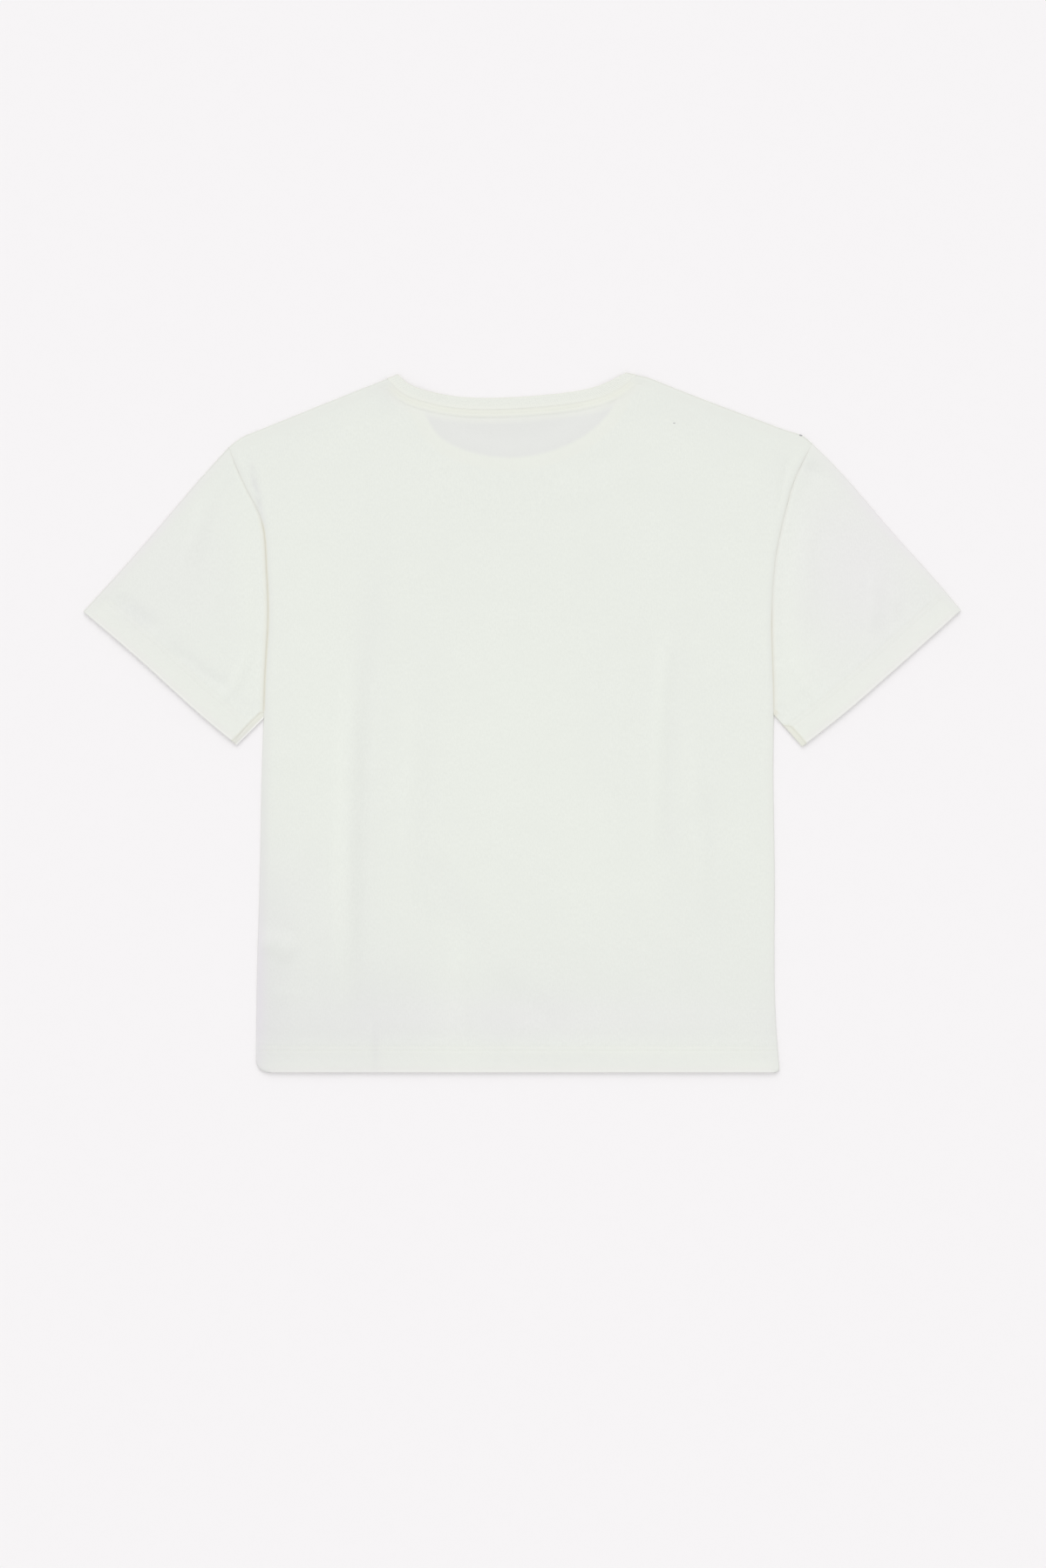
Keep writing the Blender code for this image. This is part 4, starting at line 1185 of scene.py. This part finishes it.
def capsule():
    """A thread along X, from -0.5 to 0.5, of radius 1: its points and faces."""
    points = []
    for x, radius in THREAD_SHAPE:
        for angle in np.arange(THREAD_SIDES) * 2 * math.pi / THREAD_SIDES:
            height = radius * math.sin(angle) - THREAD_DIP * (2 * x) ** 4
            points.append((x, radius * math.cos(angle), height))
    numbers = np.arange(len(points)).reshape(len(THREAD_SHAPE), THREAD_SIDES)
    faces = grid_faces(numbers, wrapped_columns=True).tolist()
    return np.array(points), faces + [numbers[0, ::-1].tolist(), numbers[-1].tolist()]


CAPSULE, CAPSULE_FACES = capsule()


def thread_points(middle, height, run, length, radius, flatness=1.0):
    """The points of one thread. run is its direction, as a level unit vector."""
    side = np.array([-run[1], run[0]])
    plan = middle + CAPSULE[:, :1] * length * run + CAPSULE[:, 1:2] * radius * side
    return np.column_stack([plan, height + CAPSULE[:, 2] * radius * flatness])


def make_threads(name, threads, material):
    """Threads as one mesh."""
    starts = range(0, len(threads) * len(CAPSULE), len(CAPSULE))
    faces = [[start + number for number in face] for start in starts for face in CAPSULE_FACES]
    mesh = bpy.data.meshes.new(name)
    mesh.from_pydata(np.concatenate(threads).tolist(), [], faces)
    mesh.shade_smooth()
    mesh.materials.append(material)
    return place(name, mesh)


def stitches(name, rows, material):
    """Rows of straight stitches. A row is a line and a function that gives its height."""
    threads = []
    for line, height_of in rows:
        length = length_of(line)
        count = int(length / STITCH_PITCH)
        centres = (np.arange(count) + 0.5) * STITCH_PITCH + (length - count * STITCH_PITCH) / 2
        starts = at_shares(line, (centres - STITCH_LENGTH / 2) / length)
        ends = at_shares(line, (centres + STITCH_LENGTH / 2) / length)
        middles = (starts + ends) / 2
        for start, end, middle, height in zip(starts, ends, middles, height_of(middles)):
            run = (end - start) / np.linalg.norm(end - start)
            threads.append(thread_points(middle, height, run, STITCH_LENGTH, THREAD_RADIUS, THREAD_FLATNESS))
    return make_threads(name, threads, material)


def loose_fibres(name, fibres, material):
    """Ends of thread that lie on the cloth."""
    threads = []
    for fibre in fibres:
        turned = math.radians(fibre.turn)
        run = np.array([math.cos(turned), math.sin(turned)])
        middle = np.array([fibre.x, fibre.y]) * MM
        threads.append(thread_points(middle, fibre.z * MM, run, fibre.length * MM, fibre.radius * MM))
    return make_threads(name, threads, material)


# ---------------------------------------------------------------- materials

# A tint is painted where a vertex field runs from start to end, in millimetres: none of it at start and
# its full strength from end on.
Tint = namedtuple("Tint", "field start end colour strength")
Look = namedtuple("Look", "material nodes links shader")


def srgb(red, green, blue):
    """A colour as it shows on a screen, 0 to 255, as the linear values that shaders take."""
    values = [value / 255 for value in (red, green, blue)]
    linear = [value / 12.92 if value <= 0.04045 else ((value + 0.055) / 1.055) ** 2.4 for value in values]
    return (*linear, 1.0)


JERSEY_COLOUR = srgb(237.5, 240.7, 233.4)
HEM_COLOUR = srgb(236.2, 238.8, 231.4)
HEM_EDGE = srgb(236.2, 236.8, 231.3)
HEM_RIM_LIGHT = srgb(242, 242.5, 238)
SINGLE_LAYER_SHADE = srgb(230.4, 231.6, 228)
BESIDE_STRIP = srgb(236.6, 238.2, 231.0)
UNDERARM_SEAM = srgb(232.8, 233.6, 223)
UNDERARM_LINE_SHADE = srgb(222, 222.5, 211)
UNDERARM_RIM_LIGHT = srgb(250, 250, 246)
UNDER_BAND = srgb(236.5, 238.5, 230)
ALLOWANCE = srgb(236.8, 238.5, 228.2)
NECK_SEAM = srgb(231.5, 232.6, 224)
RIB_SEAM = srgb(234.3, 235.8, 228.4)
ARMHOLE_SHADE = srgb(231.5, 234, 228)
CAP_ALLOWANCE = srgb(236, 237, 227)
GROOVE_SHADE = srgb(229.5, 231, 223.5)
OLIVE = srgb(224.5, 222.5, 207)
# The darkest colour of the patches' painted shade and broad darker areas
DARKER_TONE = srgb(212, 209, 216.5)
DARKER_LEVELS = 27
LILAC_TONE = srgb(243.5, 230.7, 247.4)
LILAC_LEVELS = 20
SOFT_EDGE_SHADE = srgb(234, 236.4, 229.6)
ROUND_EDGE_SHADE = srgb(219, 221, 213)
RIB_COLOUR = srgb(234.9, 236.9, 229.8)
RIB_EDGE_SHADE = srgb(222, 224, 214)
RIB_FOLD_SHADE = srgb(214, 215, 207)
THREAD_COLOUR = srgb(238, 240, 232)
FIBRE_COLOUR = srgb(176, 176, 178)
FLOOR_COLOUR = srgb(244.7, 242.6, 243.7)

JERSEY_TINTS = (
    Tint("hem", 25.0, 24.2, HEM_COLOUR, 0.8),
    Tint("hem", 9.0, 3.0, HEM_EDGE, 0.8),
    # Painted light on the rounded edge of the hem and the cuffs.
    Tint("hem", 2.8, 1.2, HEM_RIM_LIGHT, 0.8),
    Tint("opening", -14.5, -9.5, UNDER_BAND, 0.6),
    # Painted shade of the hollow beneath, seen through the back's single layer over the neck opening.
    Tint("opening", -2.4, 2.4, SINGLE_LAYER_SHADE, 1.0),
    Tint("neck", 15.0, 8.5, BESIDE_STRIP, 0.75),
    Tint("neck", 8.6, 3.0, ALLOWANCE, 1.0),
    Tint("neck", 1.8, 0.3, NECK_SEAM, 0.6),
    # Painted shade beside the armhole seam.
    Tint("armhole", 7.0, 1.5, ARMHOLE_SHADE, 0.75),
    Tint("strip", 6.0, 1.6, CAP_ALLOWANCE, 1.0),
    # Painted shade in the armhole seam's groove. The olive is partly the seams' own yellow and partly painted
    # shade in them.
    Tint("armhole", 2.8, 0.5, GROOVE_SHADE, 0.95),
    Tint("cap", 2.8, 0.5, GROOVE_SHADE, 0.95),
    Tint("olive", 2.5, 0.5, OLIVE, 0.85),
    Tint("under", 8.2, 6.0, UNDERARM_SEAM, 1.0),
    # A painted shade line along the step where the underarm seam's upper layer ends.
    Tint("under", 6.5, 5.9, UNDERARM_LINE_SHADE, 0.7),
    Tint("under", 5.3, 4.7, UNDERARM_SEAM, 1.0),
    # Painted light on the rounded edge of the underarm seam.
    Tint("under", 1.9, 0.7, UNDERARM_RIM_LIGHT, 1.0),
    # Painted shade along the shoulder folds, the sleeves' outer folds and the sides, darkest on their rounded
    # edges.
    Tint("shoulder", 15.0, 1.5, SOFT_EDGE_SHADE, 1.0),
    Tint("side", 11.0, 1.5, SOFT_EDGE_SHADE, 1.0),
    Tint("shoulder", 2.2, 0.5, ROUND_EDGE_SHADE, 0.9),
    Tint("side", 1.6, 0.3, ROUND_EDGE_SHADE, 0.25),
)


def new_look(name, roughness, sheen=0.0):
    material = bpy.data.materials.new(name)
    material.use_nodes = True
    nodes = material.node_tree.nodes
    shader = nodes["Principled BSDF"]
    shader.inputs["Roughness"].default_value = roughness
    shader.inputs["Specular IOR Level"].default_value = 0.2
    shader.inputs["Sheen Weight"].default_value = sheen
    return Look(material, nodes, material.node_tree.links, shader)


def put(look, value, socket):
    """Sets a socket to a number or a colour, or links another node's output to it."""
    if isinstance(value, bpy.types.NodeSocket):
        look.links.new(value, socket)
    else:
        socket.default_value = value


def mixed(look, factor, first, second):
    mix = look.nodes.new("ShaderNodeMix")
    mix.data_type = "RGBA"
    for value, socket in ((factor, "Factor"), (first, 6), (second, 7)):
        put(look, value, mix.inputs[socket])
    return mix.outputs[2]


def mapped(look, source, low, high, top, smooth=True):
    """A number that runs from 0 to top while the source runs from low to high, held at both ends."""
    node = look.nodes.new("ShaderNodeMapRange")
    node.interpolation_type = "SMOOTHSTEP" if smooth else "LINEAR"
    for socket, value in (("From Min", low), ("From Max", high), ("To Min", 0.0), ("To Max", top)):
        node.inputs[socket].default_value = value
    look.links.new(source, node.inputs["Value"])
    return node.outputs["Result"]


def object_place(look):
    return look.nodes.new("ShaderNodeTexCoord").outputs["Object"]


def noise(look, scale, detail, stretch=(1, 1, 1)):
    """Noise in the object's own space, with so many features to a metre."""
    spread = look.nodes.new("ShaderNodeMapping")
    spread.inputs["Scale"].default_value = stretch
    texture = look.nodes.new("ShaderNodeTexNoise")
    texture.inputs["Scale"].default_value = scale
    texture.inputs["Detail"].default_value = detail
    look.links.new(object_place(look), spread.inputs["Vector"])
    look.links.new(spread.outputs["Vector"], texture.inputs["Vector"])
    return texture.outputs["Fac"]


def computed(look, operation, first, second):
    node = look.nodes.new("ShaderNodeMath")
    node.operation = operation
    for value, socket in zip((first, second), node.inputs):
        put(look, value, socket)
    return node.outputs["Value"]


def bands(look, axis, pitch):
    """Soft bands across one axis of the object's space, from -1 to 1."""
    split = look.nodes.new("ShaderNodeSeparateXYZ")
    look.links.new(object_place(look), split.inputs["Vector"])
    turns = computed(look, "MULTIPLY", split.outputs[axis], 2 * math.pi / pitch)
    return computed(look, "SINE", turns, 0.0)


def bump(look, height, distance):
    node = look.nodes.new("ShaderNodeBump")
    node.inputs["Distance"].default_value = distance
    node.inputs["Strength"].default_value = 1.0
    look.links.new(height, node.inputs["Height"])
    look.links.new(node.outputs["Normal"], look.shader.inputs["Normal"])


def dimmed(colour, share):
    return (*(value * share for value in colour[:3]), 1.0)


def uneven(look, colour, darkest, scale, detail=2, stretch=(1, 1, 1)):
    """A colour that fine noise dims, down to a darkest share of it."""
    amount = mapped(look, noise(look, scale, detail, stretch), 0.3, 0.7, 1.0)
    return mixed(look, amount, dimmed(colour, darkest), colour)


def painted(look, below, field, start, end, colour, strength, smooth=True):
    """A colour over another one where a vertex field runs from start to end."""
    source = look.nodes.new("ShaderNodeAttribute")
    source.attribute_name = field
    amount = mapped(look, source.outputs["Fac"], start, end, strength, smooth)
    return mixed(look, amount, below, colour)


def jersey_material():
    """Fine single jersey: tints by place, uneven yarn, and wales and courses in the bump."""
    look = new_look("jersey", roughness=0.92, sheen=0.08)
    look.shader.inputs["Sheen Roughness"].default_value = 0.45
    colour = uneven(look, JERSEY_COLOUR, darkest=0.965, scale=900, stretch=(1, 0.35, 1))
    cloudy = mapped(look, noise(look, scale=22, detail=3), 0.35, 0.65, 0.35)
    colour = mixed(look, cloudy, colour, dimmed(JERSEY_COLOUR, 0.97))
    for tint in JERSEY_TINTS:
        start, end = tint.start * MM, tint.end * MM
        colour = painted(look, colour, tint.field, start, end, tint.colour, tint.strength)
    # Painted shade and light from the patches, and their broad darker and lighter areas.
    colour = painted(look, colour, "tone", 0.0, DARKER_LEVELS, DARKER_TONE, 1.0, smooth=False)
    colour = painted(look, colour, "lilac", 0.0, LILAC_LEVELS, LILAC_TONE, 1.0, smooth=False)
    look.links.new(colour, look.shader.inputs["Base Color"])
    courses = computed(look, "MULTIPLY", bands(look, "Y", COURSE_PITCH), 0.6)
    knit = computed(look, "ADD", bands(look, "X", WALE_PITCH), courses)
    yarn = computed(look, "MULTIPLY", noise(look, scale=420, detail=3), 3.0)
    bump(look, computed(look, "ADD", knit, yarn), KNIT_RELIEF)
    return look.material


def rib_material():
    """The neckband's fine rib: uneven along the yarn, darker at its seam, painted shade at its edge and
    folds.
    """
    look = new_look("rib_knit", roughness=0.92, sheen=0.08)
    colour = uneven(look, RIB_COLOUR, darkest=0.96, scale=700)
    # Painted shade along the rounded opening edge and round the turned-over folds.
    colour = painted(look, colour, "across", 1.0 * MM, 0.3 * MM, RIB_EDGE_SHADE, 0.9)
    colour = painted(look, colour, "across", 6.5 * MM, 8.5 * MM, RIB_SEAM, 1.0)
    colour = painted(look, colour, "turned", 0.05, 0.6, RIB_FOLD_SHADE, 0.9)
    look.links.new(colour, look.shader.inputs["Base Color"])
    bump(look, bands(look, "Y", RIB_COURSE_PITCH), RIB_RELIEF)
    return look.material


def thread_material(name, colour):
    """Polyester sewing thread: smoother than the cloth, with its twist in the bump."""
    look = new_look(name, roughness=0.6)
    look.links.new(uneven(look, colour, darkest=0.9, scale=2500), look.shader.inputs["Base Color"])
    bump(look, noise(look, scale=3000, detail=1), THREAD_RELIEF)
    return look.material


def floor_material():
    look = new_look("floor_paper", roughness=0.9)
    look.links.new(uneven(look, FLOOR_COLOUR, darkest=0.997, scale=60), look.shader.inputs["Base Color"])
    return look.material


# ---------------------------------------------------------------- stage


def make_floor():
    mesh = bpy.data.meshes.new("floor")
    corners = [(x * FLOOR_REACH, y * FLOOR_REACH, 0) for x, y in ((-1, -1), (1, -1), (1, 1), (-1, 1))]
    mesh.from_pydata(corners, [], [(0, 1, 2, 3)])
    mesh.materials.append(floor_material())
    floor = place("floor", mesh)
    floor.location.z = -FLOOR_GAP


def make_sun(name, azimuth, elevation, spread, strength, shadows=True):
    """A distant soft light. azimuth is measured from +Y towards -X, and spread is its width in the sky."""
    data = bpy.data.lights.new(name, "SUN")
    data.angle = math.radians(spread)
    data.energy = strength
    data.use_shadow = shadows
    place(name, data).rotation_euler = (math.radians(elevation - 90), 0.0, math.radians(azimuth))


def light_scene():
    world = bpy.data.worlds.new("studio")
    world.use_nodes = True
    background = world.node_tree.nodes["Background"]
    background.inputs["Color"].default_value = (1.0, 1.0, 1.0, 1.0)
    background.inputs["Strength"].default_value = WORLD_LIGHT
    bpy.context.scene.world = world
    make_sun("key", azimuth=4, elevation=36, spread=42, strength=KEY_LIGHT)
    make_sun("side", azimuth=86, elevation=50, spread=40, strength=SIDE_LIGHT, shadows=False)


def make_camera():
    """Straight above, with the photograph's whole frame in view at the floor's scale."""
    data = bpy.data.cameras.new("camera")
    data.lens = LENS_MM
    data.sensor_width = SENSOR_MM
    data.clip_end = 20
    camera = place("camera", data)
    centre_x = (PHOTO_SIZE[0] / 2 - ORIGIN_PIXEL[0]) * PIXEL
    centre_y = (ORIGIN_PIXEL[1] - PHOTO_SIZE[1] / 2) * PIXEL
    distance = LENS_MM * PHOTO_SIZE[1] * PIXEL / SENSOR_MM
    camera.location = (centre_x, centre_y, UPPER_TOP + distance)
    bpy.context.scene.camera = camera


def set_colours():
    view = bpy.context.scene.view_settings
    view.view_transform = "Standard"
    view.look = "None"
    view.exposure = 0.0
    view.gamma = 1.0


# ---------------------------------------------------------------- build


def row_shares(margin):
    return np.linspace(margin, 1 - margin, ROW_SAMPLES)


def hem_row_line(row):
    """The line of one needle row along the back's hem, between the two sides."""
    return level_line(row, row_shares(HEM_ROW_MARGIN))


def neck_row_line(row):
    return moved_out(BACK_SEAM, row - SEAM_GAP)[NECK_ROW_MARGIN:-NECK_ROW_MARGIN]


def back_height(points):
    return back_top(points, around_body(points, BACK_SEAM))


def cuff_stitches(sleeve, material):
    """The two needle rows of a cuff, at the height of the sleeve's upper face."""
    armhole, cuff, _ = sleeve_frame(sleeve.side)
    shares = row_shares(CUFF_ROW_MARGIN)
    upward = up_from_cuff(armhole, cuff, shares)

    def height_of(points):
        return sleeve_top(points, sleeve.side, sleeve.creases, sleeve.seed).height

    rows = [(at_shares(cuff, shares) + upward * row, height_of) for row in CUFF_ROWS]
    return stitches(f"cuff_{sleeve.side}_stitches", rows, material)


def main():
    jersey = jersey_material()
    rib = rib_material()
    thread = thread_material("sewing_thread", THREAD_COLOUR)
    back = panel_shell("back_cloth", BACK_SEAM, BACK_NET, back_top, False, BACK_PATCHES, BACK_CAST, jersey)
    front = panel_shell("front_cloth", FRONT_SEAM, FRONT_NET, front_top, True, (), (), jersey)
    left, right = (sleeve_shell(sleeve, jersey) for sleeve in SLEEVES)
    band = neckband_shell("neckband_rib", rib)
    hem_rows = [(hem_row_line(row), back_height) for row in HEM_ROWS]
    hem_stitches = stitches("hem_stitches", hem_rows, thread)
    neck_rows = [(neck_row_line(row), back_height) for row in NECK_ROWS]
    neck_stitches = stitches("neck_stitches", neck_rows, thread)
    cuffs = {sleeve.side: cuff_stitches(sleeve, thread) for sleeve in SLEEVES}
    fibres = loose_fibres("loose_fibres", FIBRES, thread_material("loose_thread", FIBRE_COLOUR))
    for piece, node in (
        (back, "back_panel"),
        (front, "front_panel"),
        (left, "sleeve_left"),
        (right, "sleeve_right"),
        (band, "neckband"),
    ):
        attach(piece, "root")
        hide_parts(node)
    for piece in (hem_stitches, neck_stitches, fibres, *cuffs.values()):
        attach(piece, "root")

    make_floor()
    light_scene()
    make_camera()
    set_colours()


main()
